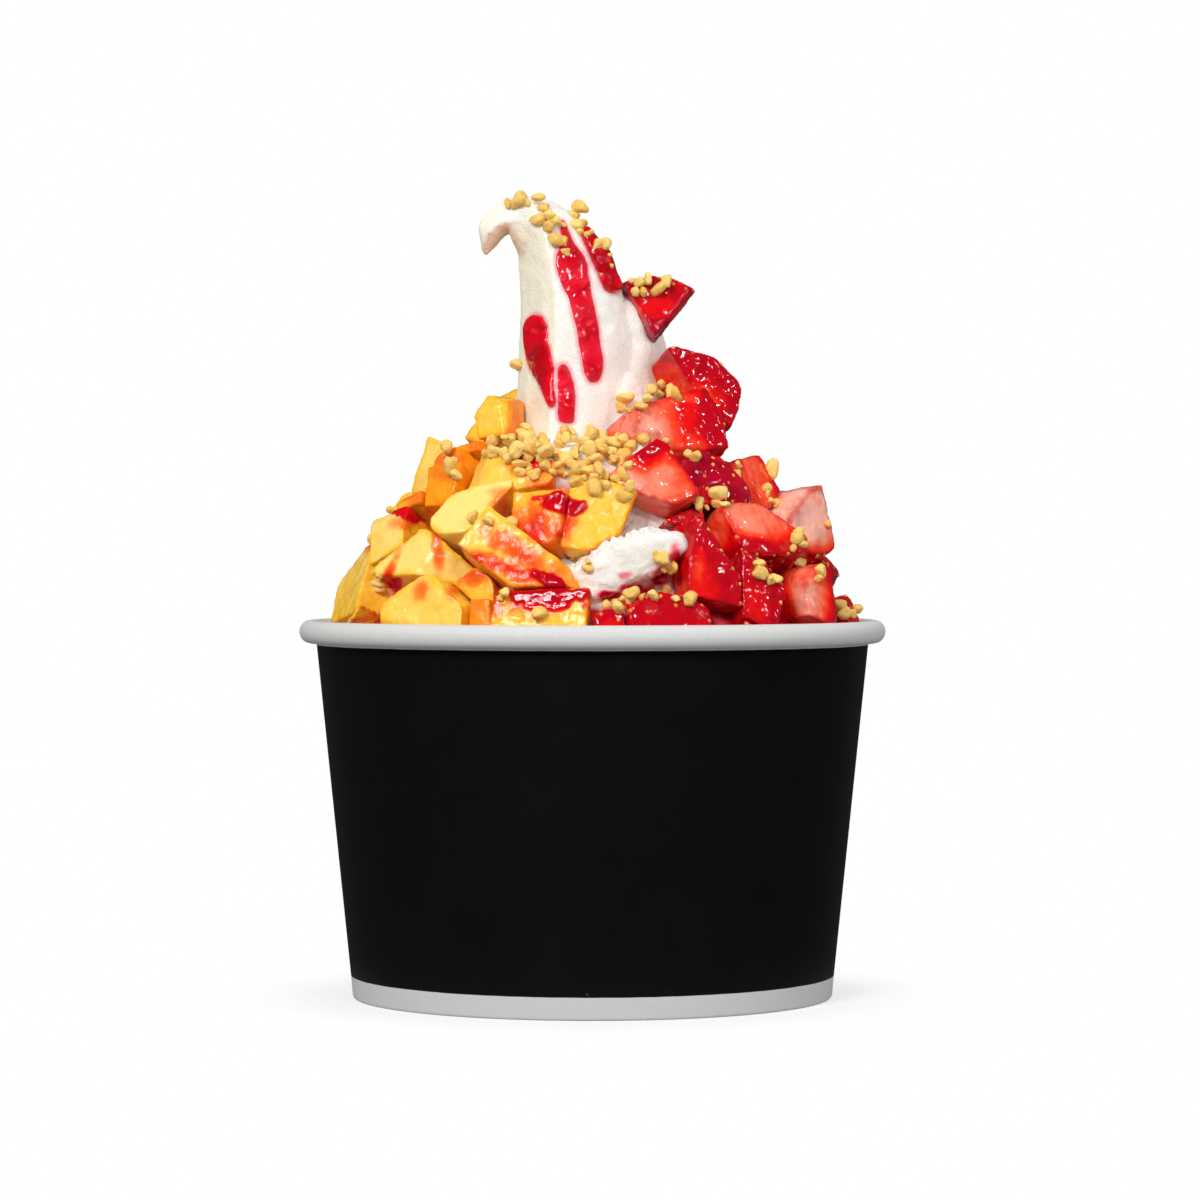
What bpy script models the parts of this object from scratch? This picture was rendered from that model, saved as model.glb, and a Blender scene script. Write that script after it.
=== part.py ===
"""Sundae cup: a paper cup of soft-serve under a heap of cut mango and strawberry.

The frame stands on the table: origin at the middle of the cup's foot, +Z up,
and the heap is looked at along +Y. Sizes are in millimetres until a mesh is made.
"""

import math
import random

import bmesh
import bpy
import numpy as np
from mathutils import Matrix, Vector
from mathutils.bvhtree import BVHTree

MM = 0.001

# Paper cup
CUP_HEIGHT = 72.0
RIM_RADIUS = 56.0
ROLL_HEIGHT = 4.3
BODY_TOP_RADIUS = 52.75
FOOT_RADIUS = 45.8
PAPER = 0.7
SKIRT_HEIGHT = 6.0
SKIRT_PAPER = 1.5
BASE_TOP = 7.2
CUP_SEGMENTS = 40

# Food
GAP = 0.35
FILL_GAP = 0.55
FILL_SEGMENTS = 24
CHAMFER = 0.35
CHAMFER_ANGLE = math.radians(44)
CHAMFER_LEAST = 3.2
REACH = 34.0
FLAT_ANGLE = math.radians(0.4)
BERRY_RINGS = 5
BERRY_SIDES = 9
FAR_BERRY_RADIUS = 13.0
UNCUT_BLOCK = 80.0
UNEVEN = 7.0
MOUTH_SLOPE = 0.8
MOUTH_DEPTH = 0.4
OVERHANG = 1.0

# Bee pollen: mean size and the spread of it, how far a grain's middle stands off
# what it lies on, how close two may lie and how clear of another piece one stays
GRAIN_SIZE = 2.7
GRAIN_MIX = (0.75, 0.9, 1.0, 1.1, 1.35)
GRAIN_STAND = 0.16
GRAIN_CROWDING = 0.42
GRAIN_REACH = 0.75

# Where someone standing in front of the cup looks from
EYE_DISTANCE = 859.0
EYE_HEIGHT = 88.3

# Colour, roughness and metallic value of each material
FINISHES = {
    "cup_paper": ((0.012, 0.012, 0.012), 0.35, 0.0),
    "base_paper": ((0.75, 0.74, 0.72), 0.6, 0.0),
    "soft_serve": ((0.93, 0.88, 0.80), 0.45, 0.0),
    "mango_flesh": ((0.95, 0.62, 0.12), 0.25, 0.0),
    "strawberry_flesh": ((0.75, 0.05, 0.04), 0.2, 0.0),
}

# Cut mango, nearest the viewer first: a piece is trimmed by those above it.
# x, y, z of the middle of its main face; the way that face looks (turned to the
# right, raised); its roll; width, height and depth; then the corner cuts, each
# by its angle in the face, its distance from the middle and its lean.
MANGO = [
    (-31.4, -38.0, 75.5, -28, 14, 0, 17.5, 11.5, 13, [(128, 5.2, 12), (52, 5.4, 10)]),
    (-9.5, -47.0, 74.4, -8, 18, -2, 17.5, 9.5, 12, [(100, 3.4, 48)]),
    (-13.0, -42.0, 83.4, -14, 22, -33, 25.0, 9.5, 9, [(-52, 5.8, 8), (55, 6.6, 30)]),
    (-33.6, -32.2, 82.4, -36, 26, 38, 19.0, 12.0, 13, [(-58, 2.6, 46), (176, 7.4, 16)]),
    (-46.0, -6.0, 79.0, -68, 22, 14, 13.0, 15.0, 12, [(120, 5.2, 14)]),
    (-10.2, -38.4, 90.3, -22, 16, 6, 9.5, 12.5, 11, [(-60, 4.6, 10)]),
    (-1.8, -38.2, 92.4, 10, 20, -20, 15.5, 14.5, 12, [(150, 5.8, 36), (-40, 6.8, 8)]),
    (-22.4, -33.0, 93.0, -24, 34, 10, 16.0, 10.2, 12, [(140, 6.0, 14)]),
    (-22.4, -35.5, 81.8, -22, 8, -6, 10.0, 15.0, 12, []),
    (-15.4, -27.0, 99.6, -18, 24, -9, 17.4, 9.0, 12, [(176, 5.0, 42)]),
    (-38.6, -19.5, 88.8, -46, 24, 24, 9.0, 10.4, 11, [(84, 3.6, 46)]),
    (-21.8, -42.0, 73.2, -22, 14, 4, 7.0, 7.6, 7, [(90, 3.4, 24)]),
    (-28.4, -20.6, 97.6, -42, 22, 8, 7.6, 8.4, 9, []),
    (-34.6, -17.6, 93.6, -50, 24, 26, 6.6, 5.6, 8, [(90, 2.4, 34)]),
    (-27.8, -13.4, 102.0, -48, 26, 14, 6.6, 5.8, 8, [(120, 3.0, 20)]),
    (-19.2, -11.4, 111.0, -26, 12, 14, 7.0, 8.8, 8, [(0, 2.0, 46), (140, 3.0, 12), (60, 3.4, 16)]),
    (-23.8, -10.6, 105.4, -46, 20, 16, 6.0, 4.6, 7, []),
]

# Cut strawberry, given like the mango. Before the corner cuts stand the way that
# the berry's skin lies (right, up, out of the face) and the berry's own radius.
STRAWBERRY = [
    (22.6, -40.4, 83.8, 20, 12, -8, 10.4, 15.4, 11, (1, 1, 1), 15.0, [(166, 4.8, 12), (38, 2.4, 8)]),
    (14.0, -46.4, 75.0, 14, 24, 0, 15.5, 10.6, 12, (0, 1, 1), 12.0, [(122, 4.2, 22), (56, 4.4, 22)]),
    (31.2, -36.6, 77.8, 34, 12, -20, 10.4, 12.4, 11, (1, 1, 1), 13.0, [(60, 5.0, 20)]),
    (43.0, -24.2, 77.4, 52, 16, -14, 10.4, 11.8, 12, (1, 0, 0), 14.0, [(150, 4.8, 20)]),
    (31.4, -29.2, 88.8, 34, 26, -36, 18.8, 12.0, 12, (1, -1, 0), 15.0, [(130, 6.4, 20), (-130, 6.2, 6)]),
    (10.8, -32.4, 98.0, 12, 22, 30, 14.4, 12.4, 11, (1, 1, 0), 14.0, [(100, 6.0, 16), (-140, 5.8, 4)]),
    (16.0, -19.2, 109.0, 22, 18, 10, 20.4, 11.4, 11, (1, 0, 0), 15.0, [(160, 8.0, 16), (-104, 5.0, 14)]),
    (24.4, -25.4, 96.6, 34, 18, 28, 12.4, 18.0, 11, (0, 0, 1), 14.0, [(-120, 7.0, 8), (110, 7.4, 14)]),
    (21.0, -7.6, 117.0, 30, 14, -16, 17.4, 12.0, 11, (1, 1, 0), 10.4, [(60, 6.2, 14)]),
    (41.6, -11.0, 90.0, 52, 10, 6, 12.4, 13.6, 10, (0, -1, 0), 15.0, [(118, 5.0, 8), (-120, 5.2, 8)]),
    (12.4, -4.6, 131.8, 6, 16, -2, 16.4, 12.0, 5, (0, 1, 1), 12.0, [(209, 3.3, 10), (-37, 3.1, 10)]),
    (32.6, -10.0, 98.6, 56, 24, 10, 10.0, 10.6, 10, (1, 0, 0), 13.0, []),
    (3.6, -47.8, 72.8, 2, 26, 4, 6.4, 5.4, 9, (0, 1, 1), 9.0, [(120, 2.8, 20)]),
    (28.8, -40.0, 73.0, 32, 30, 0, 12.0, 6.0, 10, (0, 1, 1), 11.0, []),
    (49.2, -5.6, 74.2, 74, 22, 0, 7.4, 6.0, 8, (0, 1, 0), 11.0, []),
    (17.0, -29.8, 91.0, 24, 12, 0, 9.0, 8.0, 9, (0, 0, 1), 13.0, []),
]

# Rows of fruit round the far side: height, radius, first and last turn, count
FAR_ROWS = [
    (76.5, 47.0, -108, 112, 9),
    (88.5, 40.5, -112, 110, 7),
    (98.0, 30.0, -94, 98, 5),
    (109.0, 22.5, -66, 72, 3),
]
FAR_PIECE = (17.0, 14.0, 12.0)

# Body of soft-serve under the fruit, turned: radius and height
MOUND = [(49.0, 68.0), (41.0, 75.0), (36.0, 83.0), (30.0, 91.0), (24.0, 98.5), (18.0, 104.0)]

# Turns of soft-serve on the mound: x, y, z and radius of each round section
LOWER_TURN = [(-1.0, 4.0, 98, 16.0), (-1.0, 4.0, 108, 16.4), (-1.0, 4.0, 116, 15.6),
              (-0.5, 4.0, 120, 13.0), (-0.5, 4.0, 123, 9.0)]
BACK_TURN = [(1.0, 4.5, 106, 13.5), (2.6, 4.5, 118, 11.4), (4.0, 4.0, 125, 9.8),
             (3.8, 3.4, 131, 7.8), (3.2, 2.6, 135, 4.4)]

# Drawn-out peak: x and z of a section's middle, half its width and depth, the
# way its width leans in the front view, and the turn of its flutes
PEAK = [
    (-3.4, 98.0, 12.6, 13.0, 8, 0),
    (-3.5, 105.0, 12.0, 12.6, 8, 0),
    (-3.5, 111.9, 11.2, 12.0, 7, 0),
    (-3.2, 118.2, 11.1, 11.4, 5, 0),
    (-2.9, 124.3, 10.9, 10.8, 3, 1),
    (-3.4, 129.0, 10.2, 10.2, 1, 2),
    (-3.9, 133.4, 9.5, 9.4, 0, 3),
    (-4.9, 138.4, 8.8, 8.4, 5, 5),
    (-6.6, 142.6, 7.5, 7.2, 10, 8),
    (-9.1, 145.8, 6.2, 6.0, 24, 20),
    (-12.1, 148.1, 5.2, 4.9, 46, 40),
    (-14.9, 148.9, 4.3, 4.0, 72, 70),
    (-17.6, 147.8, 3.5, 3.2, 98, 92),
    (-19.6, 145.8, 3.1, 2.6, 110, 100),
    (-21.0, 144.0, 2.6, 1.7, 100, 104),
]
PEAK_Y = -2.0
FLUTE_CRESTS = (-112, -12, 78, 168)
FLUTE_DEPTH = 0.13
FLUTE_WIDTH = 30.0
SECTION_POINTS = 20

# Lumps of soft-serve between the fruit: middle, half sizes, roll in the front view
# and how square they are, from 2 for a ball
LUMPS = [
    ((6.4, -34.8, 83.4), (11.6, 8.6, 5.4), -27, 3.6),
    ((-6.0, -17.0, 99.0), (15.0, 11.0, 6.6), 0, 2),
    ((9.0, -13.0, 102.0), (8.0, 9.0, 6.6), 0, 2),
]

# Thick berry sauce on the peak: turn of the viewer and how thick it lies, then
# the x, z and width of each run's points
DRIZZLES = [
    (0, 0.9, [(-5.8, 148.4, 1.2), (-4.6, 144.4, 2.4), (-3.6, 139.6, 6.0), (-2.4, 134.6, 5.2),
              (-1.6, 128.0, 4.4), (-0.6, 121.6, 4.2), (-0.2, 117.4, 3.0)]),
    (0, 0.9, [(-12.0, 128.6, 2.6), (-11.6, 124.6, 5.6), (-9.6, 119.8, 5.4), (-8.0, 115.6, 3.8),
              (-7.2, 112.6, 1.6)]),
    (0, 0.9, [(-5.8, 121.0, 1.6), (-4.6, 116.4, 3.6), (-4.6, 111.6, 3.6), (-5.2, 109.4, 2.4)]),
    (62, 2.0, [(-4.8, 146.0, 1.8), (-4.2, 143.0, 3.2), (-3.4, 139.4, 3.8), (-2.8, 135.6, 3.4)]),
]
DRIZZLE_ROOT = 0.9
DRIZZLE_STEP = 2.2
# Its section: share of the width, share of the height
DRIZZLE_SECTION = ((-0.5, 0.0), (-0.3, 0.75), (0.0, 1.0), (0.3, 0.75), (0.5, 0.0))

# Bee pollen as seen from in front: x and z where a run starts and ends, how far
# it spreads, and how many grains it has
GRAIN_RUNS = [
    ((-17.0, 104.6), (5.6, 103.2), 2.6, 34),
    ((-13.0, 100.6), (3.4, 101.4), 1.6, 12),
    ((-9.4, 149.6), (-6.4, 144.0), 2.0, 9),
    ((-3.6, 147.0), (2.6, 142.6), 1.2, 7),
    ((3.4, 141.8), (6.8, 137.0), 1.2, 5),
    ((-16.6, 151.6), (-11.4, 151.8), 0.4, 3),
    ((-14.6, 120.6), (-13.8, 119.0), 0.5, 2),
    ((6.8, 136.4), (13.2, 134.0), 1.4, 6),
    ((4.4, 112.8), (10.0, 112.6), 0.8, 5),
    ((11.0, 115.4), (16.0, 115.4), 0.8, 4),
    ((8.6, 106.4), (14.4, 106.0), 0.8, 2),
    ((19.0, 103.2), (20.8, 102.6), 0.5, 2),
    ((27.0, 106.6), (29.2, 98.6), 0.8, 3),
    ((20.4, 94.4), (26.0, 93.6), 0.8, 4),
    ((32.4, 97.4), (35.6, 93.6), 0.8, 4),
    ((38.6, 90.2), (39.6, 82.6), 1.2, 4),
    ((42.6, 81.4), (43.6, 79.8), 0.8, 2),
    ((46.4, 74.4), (50.6, 73.6), 0.8, 3),
    ((12.2, 84.8), (15.6, 80.6), 0.8, 4),
    ((3.0, 74.6), (9.2, 75.6), 1.0, 6),
    ((10.6, 77.6), (19.0, 75.2), 1.0, 3),
    ((30.0, 82.0), (35.6, 79.6), 1.0, 3),
    ((-2.2, 82.4), (1.0, 82.8), 0.8, 2),
    ((4.2, 96.8), (8.8, 95.2), 0.6, 2),
    ((-17.6, 76.4), (-16.4, 76.0), 0.3, 1),
    ((-41.6, 82.0), (-40.2, 78.0), 0.6, 3),
    ((-27.4, 104.4), (-26.0, 99.6), 0.8, 3),
    ((-23.6, 91.8), (-14.8, 90.6), 0.6, 2),
    ((-10.6, 73.4), (-9.8, 72.8), 0.3, 1),
]
# The same, looked at from other sides: turn of the viewer, then a run as above
FAR_GRAIN_RUNS = [
    (180, (-14.0, 108.0), (14.0, 108.0), 4.0, 10),
    (180, (-4.0, 148.0), (-1.0, 138.0), 1.6, 5),
    (180, (-34.0, 86.0), (34.0, 86.0), 8.0, 10),
    (105, (-22.0, 94.0), (22.0, 94.0), 8.0, 7),
    (-105, (-22.0, 94.0), (22.0, 94.0), 8.0, 7),
]


# ---------------------------------------------------------------- scene helpers

def clear_scene():
    for thing in list(bpy.data.objects):
        bpy.data.objects.remove(thing, do_unlink=True)


def finish(name):
    """The material of that name, made at its first use."""
    material = bpy.data.materials.get(name)
    if material is None:
        colour, roughness, metallic = FINISHES[name]
        material = bpy.data.materials.new(name)
        material.use_nodes = True
        shader = material.node_tree.nodes["Principled BSDF"]
        shader.inputs["Base Color"].default_value = (*colour, 1.0)
        shader.inputs["Roughness"].default_value = roughness
        shader.inputs["Metallic"].default_value = metallic
        material.diffuse_color = (*colour, 1.0)
    return material


def add_object(name, mesh, material=None):
    thing = bpy.data.objects.new(name, mesh)
    bpy.context.scene.collection.objects.link(thing)
    if material:
        mesh.materials.clear()
        mesh.materials.append(finish(material))
    return thing


def mesh_of(name, bm):
    bmesh.ops.recalc_face_normals(bm, faces=bm.faces)
    mesh = bpy.data.meshes.new(name)
    bm.to_mesh(mesh)
    bm.free()
    return mesh


def largest_shell(thing):
    """Keep the biggest connected shell: scraps go, and sealed hollows are filled."""
    bm = bmesh.new()
    bm.from_mesh(thing.data)
    bmesh.ops.remove_doubles(bm, verts=bm.verts, dist=0.004 * MM)
    bmesh.ops.dissolve_degenerate(bm, edges=bm.edges, dist=0.002 * MM)
    left = set(bm.verts)
    shells = []
    while left:
        front = [left.pop()]
        shell = set(front)
        while front:
            for edge in front.pop().link_edges:
                for vert in edge.verts:
                    if vert in left:
                        left.discard(vert)
                        shell.add(vert)
                        front.append(vert)
        shells.append(shell)
    keep = max(shells, key=len)
    bmesh.ops.delete(bm, geom=[v for v in bm.verts if v not in keep], context="VERTS")
    bmesh.ops.dissolve_limit(bm, angle_limit=FLAT_ANGLE, verts=bm.verts, edges=bm.edges)
    bmesh.ops.triangulate(bm, faces=bm.faces)
    bm.to_mesh(thing.data)
    bm.free()


def boolean(thing, operation, cutters):
    """Join to, or cut from, an object a list of others, which are then removed."""
    group = bpy.data.collections.new(thing.name + "_operands")
    bpy.context.scene.collection.children.link(group)
    for cutter in cutters:
        group.objects.link(cutter)
        bpy.context.scene.collection.objects.unlink(cutter)
    modifier = thing.modifiers.new("join", "BOOLEAN")
    modifier.operation = operation
    modifier.operand_type = "COLLECTION"
    modifier.collection = group
    modifier.solver = "MANIFOLD"
    graph = bpy.context.evaluated_depsgraph_get()
    result = bpy.data.meshes.new_from_object(thing.evaluated_get(graph))
    thing.modifiers.clear()
    material = thing.data.materials[0]
    thing.data = result
    result.materials.clear()
    result.materials.append(material)
    for cutter in cutters:
        bpy.data.objects.remove(cutter, do_unlink=True)
    bpy.data.collections.remove(group)
    largest_shell(thing)


# ---------------------------------------------------------------- round shapes

def turned(name, outline, segments, material):
    """A solid of revolution; an outline that starts and ends on the axis is a disc."""
    bm = bmesh.new()
    rings = []
    for radius, height in outline:
        if radius == 0:
            rings.append([bm.verts.new((0, 0, height * MM))])
            continue
        ring = []
        for step in range(segments):
            turn = math.tau * step / segments
            point = Vector((radius * math.cos(turn), radius * math.sin(turn), height))
            ring.append(bm.verts.new(point * MM))
        rings.append(ring)
    closed = len(rings[0]) > 1
    pairs = list(zip(rings, rings[1:]))
    if closed:
        pairs.append((rings[-1], rings[0]))
    bridge(bm, pairs, segments)
    return add_object(name, mesh_of(name, bm), material)


def bridge(bm, pairs, segments):
    for lower, upper in pairs:
        for step in range(segments):
            after = (step + 1) % segments
            corners = [lower[step % len(lower)], lower[after % len(lower)],
                       upper[after % len(upper)], upper[step % len(upper)]]
            bm.faces.new(list(dict.fromkeys(corners)))


def lofted(name, sections, material="soft_serve"):
    """A closed solid through rings of points, with a point in the middle of each end."""
    bm = bmesh.new()
    rings = [[bm.verts.new(point * MM) for point in ring] for ring in sections]
    middles = [sum(ring, Vector()) / len(ring) for ring in (sections[0], sections[-1])]
    caps = [[bm.verts.new(middle * MM)] for middle in middles]
    rings = [caps[0], *rings, caps[1]]
    bridge(bm, list(zip(rings, rings[1:])), len(sections[0]))
    return add_object(name, mesh_of(name, bm), material)


def wall_radius(height):
    """Outer radius of the cup's wall at a height."""
    share = height / (CUP_HEIGHT - ROLL_HEIGHT)
    return FOOT_RADIUS + (BODY_TOP_RADIUS - FOOT_RADIUS) * share


def make_cup():
    """Wall with its rolled rim and folded skirt, and the disc that closes it."""
    roll_low = CUP_HEIGHT - ROLL_HEIGHT
    inner_top = BODY_TOP_RADIUS - PAPER
    half_width = (RIM_RADIUS - inner_top) / 2
    middle = (inner_top + half_width, roll_low + ROLL_HEIGHT / 2)
    roll = []
    for turn in range(-75, 181, 30):
        angle = math.radians(turn)
        across = middle[0] + half_width * math.cos(angle)
        roll.append((across, middle[1] + ROLL_HEIGHT / 2 * math.sin(angle)))
    outline = [(FOOT_RADIUS, 0), (BODY_TOP_RADIUS, roll_low), *roll]
    outline.append((wall_radius(SKIRT_HEIGHT) - PAPER, SKIRT_HEIGHT))
    outline.append((wall_radius(SKIRT_HEIGHT) - SKIRT_PAPER, SKIRT_HEIGHT - PAPER))
    outline.append((FOOT_RADIUS - SKIRT_PAPER, 0))
    turned("cup_wall", outline, CUP_SEGMENTS, "cup_paper")
    edge = wall_radius(SKIRT_HEIGHT + GAP) - PAPER - GAP
    base = [(0, BASE_TOP), (edge, BASE_TOP), (edge, SKIRT_HEIGHT + GAP), (0, SKIRT_HEIGHT + GAP)]
    turned("cup_base", base, CUP_SEGMENTS, "base_paper")


# ---------------------------------------------------------------- cut fruit

class Chunk:
    """A convex piece of fruit, kept as the planes that bound it."""

    def __init__(self, name, material, middle):
        self.name = name
        self.material = material
        self.middle = Vector(middle)
        self.planes = []
        self.skin = []

    def cut(self, normal, point):
        normal = Vector(normal).normalized()
        self.planes.append((normal, normal.dot(Vector(point))))

    def solid(self, grow=0.0, skinned=True):
        """The space inside the planes, each moved out by grow."""
        bm = bmesh.new()
        bmesh.ops.create_cube(bm, size=UNCUT_BLOCK, matrix=Matrix.Translation(self.middle))
        for normal, distance in self.planes + (self.skin if skinned else []):
            trim(bm, normal, distance + grow)
        bmesh.ops.remove_doubles(bm, verts=bm.verts, dist=0.02)
        bmesh.ops.dissolve_degenerate(bm, edges=bm.edges, dist=0.01)
        return bm

    def chamfer(self):
        """Break the sharp edges, each with one more plane."""
        bm = self.solid()
        bm.normal_update()
        for edge in bm.edges:
            if edge.calc_face_angle(0.0) < CHAMFER_ANGLE or edge.calc_length() < CHAMFER_LEAST:
                continue
            normal = (edge.link_faces[0].normal + edge.link_faces[1].normal).normalized()
            middle = (edge.verts[0].co + edge.verts[1].co) / 2
            self.cut(normal, middle - normal * CHAMFER)
        bm.free()

    def points(self):
        bm = self.solid()
        corners = np.array([tuple(vert.co) for vert in bm.verts])
        bm.free()
        return corners

    def place(self):
        bm = self.solid()
        bmesh.ops.scale(bm, vec=(MM, MM, MM), verts=bm.verts)
        bmesh.ops.triangulate(bm, faces=bm.faces)
        return add_object(self.name, mesh_of(self.name, bm), self.material)

    def pocket(self):
        """What a body that the chunk is pressed into loses to it."""
        bm = self.solid(GAP, skinned=False)
        bmesh.ops.scale(bm, vec=(MM, MM, MM), verts=bm.verts)
        return add_object(self.name + "_pocket", mesh_of(self.name + "_pocket", bm))


def trim(bm, normal, distance):
    """Cut a convex mesh by a plane, drop what lies outside and close it."""
    bmesh.ops.bisect_plane(bm, geom=bm.verts[:] + bm.edges[:] + bm.faces[:], dist=1e-5,
                           plane_co=normal * distance, plane_no=normal, clear_outer=True)
    rim = [edge for edge in bm.edges if edge.is_boundary]
    if rim:
        bmesh.ops.holes_fill(bm, edges=rim, sides=0)


def face_axes(turned_right, raised, roll):
    """Right, up and outward directions of a face that looks that way."""
    turn = math.radians(turned_right)
    lift = math.radians(raised)
    out = Vector((math.sin(turn) * math.cos(lift), -math.cos(turn) * math.cos(lift), math.sin(lift)))
    right = Vector((math.cos(turn), math.sin(turn), 0))
    spin = Matrix.Rotation(math.radians(roll), 3, out)
    right = spin @ right
    return right, out.cross(right), out


def cut_block(chunk, axes, size, cuts, seed):
    """Bound a chunk by an uneven block, its corner cuts and the cup's mouth."""
    right, up, out = axes
    width, height, depth = size
    hand = random.Random(seed)
    sides = [(0, width / 2, 0), (90, height / 2, 0), (180, width / 2, 0), (270, height / 2, 0)]
    for angle, distance, lean in sides + cuts:
        angle = math.radians(angle + (hand.uniform(-UNEVEN, UNEVEN) if lean == 0 else 0))
        lean = math.radians(lean + hand.uniform(-UNEVEN, UNEVEN))
        across = right * math.cos(angle) + up * math.sin(angle)
        chunk.cut(across * math.cos(lean) + out * math.sin(lean), chunk.middle + across * distance)
    chunk.cut(out, chunk.middle)
    chunk.cut(-out + right * hand.uniform(-0.2, 0.2), chunk.middle - out * depth)
    level = Vector((chunk.middle.x, chunk.middle.y, 0)).normalized()
    mouth = level * (BODY_TOP_RADIUS - PAPER - 2 * GAP) + Vector((0, 0, CUP_HEIGHT - MOUTH_DEPTH))
    chunk.cut(level - Vector((0, 0, MOUTH_SLOPE)), mouth)
    chunk.cut(level, level * (BODY_TOP_RADIUS + OVERHANG))


def round_skin(chunk, axes, size, skin, radius):
    """Bound a chunk by the skin of the berry that it was cut from."""
    right, up, out = axes
    width, height, depth = size
    way = (right * skin[0] + up * skin[1] + out * skin[2]).normalized()
    half = (abs(way.dot(right)) * width + abs(way.dot(up)) * height + abs(way.dot(out)) * depth) / 2
    heart = chunk.middle - out * depth / 2 + way * (half - radius)
    for ring in range(1, BERRY_RINGS + 1):
        lift = math.pi * (ring / (BERRY_RINGS + 1) - 0.5)
        for side in range(BERRY_SIDES):
            turn = math.tau * (side + ring % 2 / 2) / BERRY_SIDES
            level = math.cos(lift)
            normal = Vector((math.cos(turn) * level, math.sin(turn) * level, math.sin(lift)))
            chunk.skin.append((normal, normal.dot(heart) + radius))


def part_neighbours(chunks):
    """Between each two chunks that meet, trim the later one by a plane of the first."""
    for later, chunk in enumerate(chunks):
        for first in chunks[:later]:
            if (first.middle - chunk.middle).length > REACH:
                continue
            corners = chunk.points()
            if len(corners) < 4:
                break
            inside = np.vstack([corners, (corners + corners.mean(axis=0)) / 2])
            bounds = first.planes + first.skin
            normals = np.array([tuple(normal) for normal, _ in bounds])
            limits = np.array([distance for _, distance in bounds]) + GAP
            heights = inside @ normals.T - limits
            if (heights[:len(corners)] > 0).all(axis=0).any():
                continue
            if not meet(first, chunk):
                continue
            best = int((heights > 0).sum(axis=0).argmax())
            if (heights[:, best] > 0).sum() == 0:
                continue
            normal = Vector(normals[best])
            chunk.cut(-normal, normal * limits[best])


def meet(first, other):
    """Whether two chunks come closer than the gap."""
    bm = first.solid(GAP)
    for normal, distance in other.planes + other.skin:
        trim(bm, normal, distance)
        if not bm.verts:
            break
    found = len(bm.verts) > 3
    bm.free()
    return found


def far_side():
    """Places of the fruit round the far side, row by row, as rows of the tables."""
    hand = random.Random(5)
    for height, radius, start, end, count in FAR_ROWS:
        for step in range(count):
            turn = 180 + start + (end - start) * (step + hand.uniform(0.35, 0.65)) / count
            reach = radius + hand.uniform(-1.5, 1.0)
            lift = height + hand.uniform(-1.5, 1.5)
            place = (reach * math.sin(math.radians(turn)), -reach * math.cos(math.radians(turn)), lift)
            size = [side * hand.uniform(0.8, 1.15) for side in FAR_PIECE]
            look = (turn + hand.uniform(-14, 14), hand.uniform(14, 40), hand.uniform(-35, 35))
            cuts = [(hand.uniform(20, 160), size[1] * 0.42, hand.uniform(10, 40))]
            skin = hand.choice([(1, 0, 0), (0, 1, 1), (0, 0, 1), (-1, 1, 0)])
            yield place, look, size, cuts, skin


def make_fruit():
    """Every piece of fruit, trimmed against its neighbours and the cup."""
    mango = [((x, y, z), look, size, cuts, None, 0)
             for x, y, z, *rest in MANGO
             for look, size, cuts in [(rest[0:3], rest[3:6], rest[6])]]
    berries = [((x, y, z), look, size, cuts, skin, radius)
               for x, y, z, *rest in STRAWBERRY
               for look, size, skin, radius, cuts in [(rest[0:3], rest[3:6], rest[6], rest[7], rest[8])]]
    for place, look, size, cuts, skin in far_side():
        if place[0] < 0:
            mango.append((place, look, size, cuts, None, 0))
        else:
            berries.append((place, look, size, cuts, skin, FAR_BERRY_RADIUS))
    chunks = []
    for kind, rows in (("mango", mango), ("strawberry", berries)):
        for number, (place, look, size, cuts, skin, radius) in enumerate(rows, 1):
            chunk = Chunk(f"{kind}_{number:02d}", kind + "_flesh", place)
            axes = face_axes(*look)
            cut_block(chunk, axes, size, cuts, chunk.name)
            if skin:
                round_skin(chunk, axes, size, skin, radius)
            chunks.append(chunk)
    part_neighbours(chunks)
    return chunks


# ---------------------------------------------------------------- soft-serve

def round_sections(rows):
    sections = []
    for x, y, z, radius in rows:
        ring = []
        for step in range(SECTION_POINTS):
            turn = math.tau * step / SECTION_POINTS
            ring.append(Vector((x + radius * math.cos(turn), y + radius * math.sin(turn), z)))
        sections.append(ring)
    return sections


def flute(turn):
    """How far the section reaches at a turn: full on a crest, less between."""
    away = min(abs((turn - crest + 180) % 360 - 180) for crest in FLUTE_CRESTS)
    return 1.05 - FLUTE_DEPTH * (1 - math.exp(-away / FLUTE_WIDTH))


def peak_sections():
    sections = []
    for x, z, half_width, half_depth, lean, twist in PEAK:
        lean = math.radians(lean)
        across = Vector((math.cos(lean), 0, math.sin(lean)))
        ring = []
        for step in range(SECTION_POINTS):
            degrees = 360 * step / SECTION_POINTS
            reach = flute(degrees - twist)
            turn = math.radians(degrees)
            point = across * (half_width * reach * math.cos(turn))
            point += Vector((0, half_depth * reach * math.sin(turn), 0))
            ring.append(Vector((x, PEAK_Y, z)) + point)
        sections.append(ring)
    return sections


def make_lump(number, middle, half_sizes, roll, squareness):
    bm = bmesh.new()
    bmesh.ops.create_icosphere(bm, subdivisions=2, radius=1.0)
    for vert in bm.verts:
        vert.co *= sum(abs(side) ** squareness for side in vert.co) ** (-1 / squareness)
    bmesh.ops.scale(bm, vec=Vector(half_sizes) * MM, verts=bm.verts)
    turn = Matrix.Rotation(math.radians(roll), 4, "Y")
    bmesh.ops.transform(bm, matrix=Matrix.Translation(Vector(middle) * MM) @ turn, verts=bm.verts)
    return add_object(f"lump_{number}", mesh_of(f"lump_{number}", bm), "soft_serve")


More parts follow.
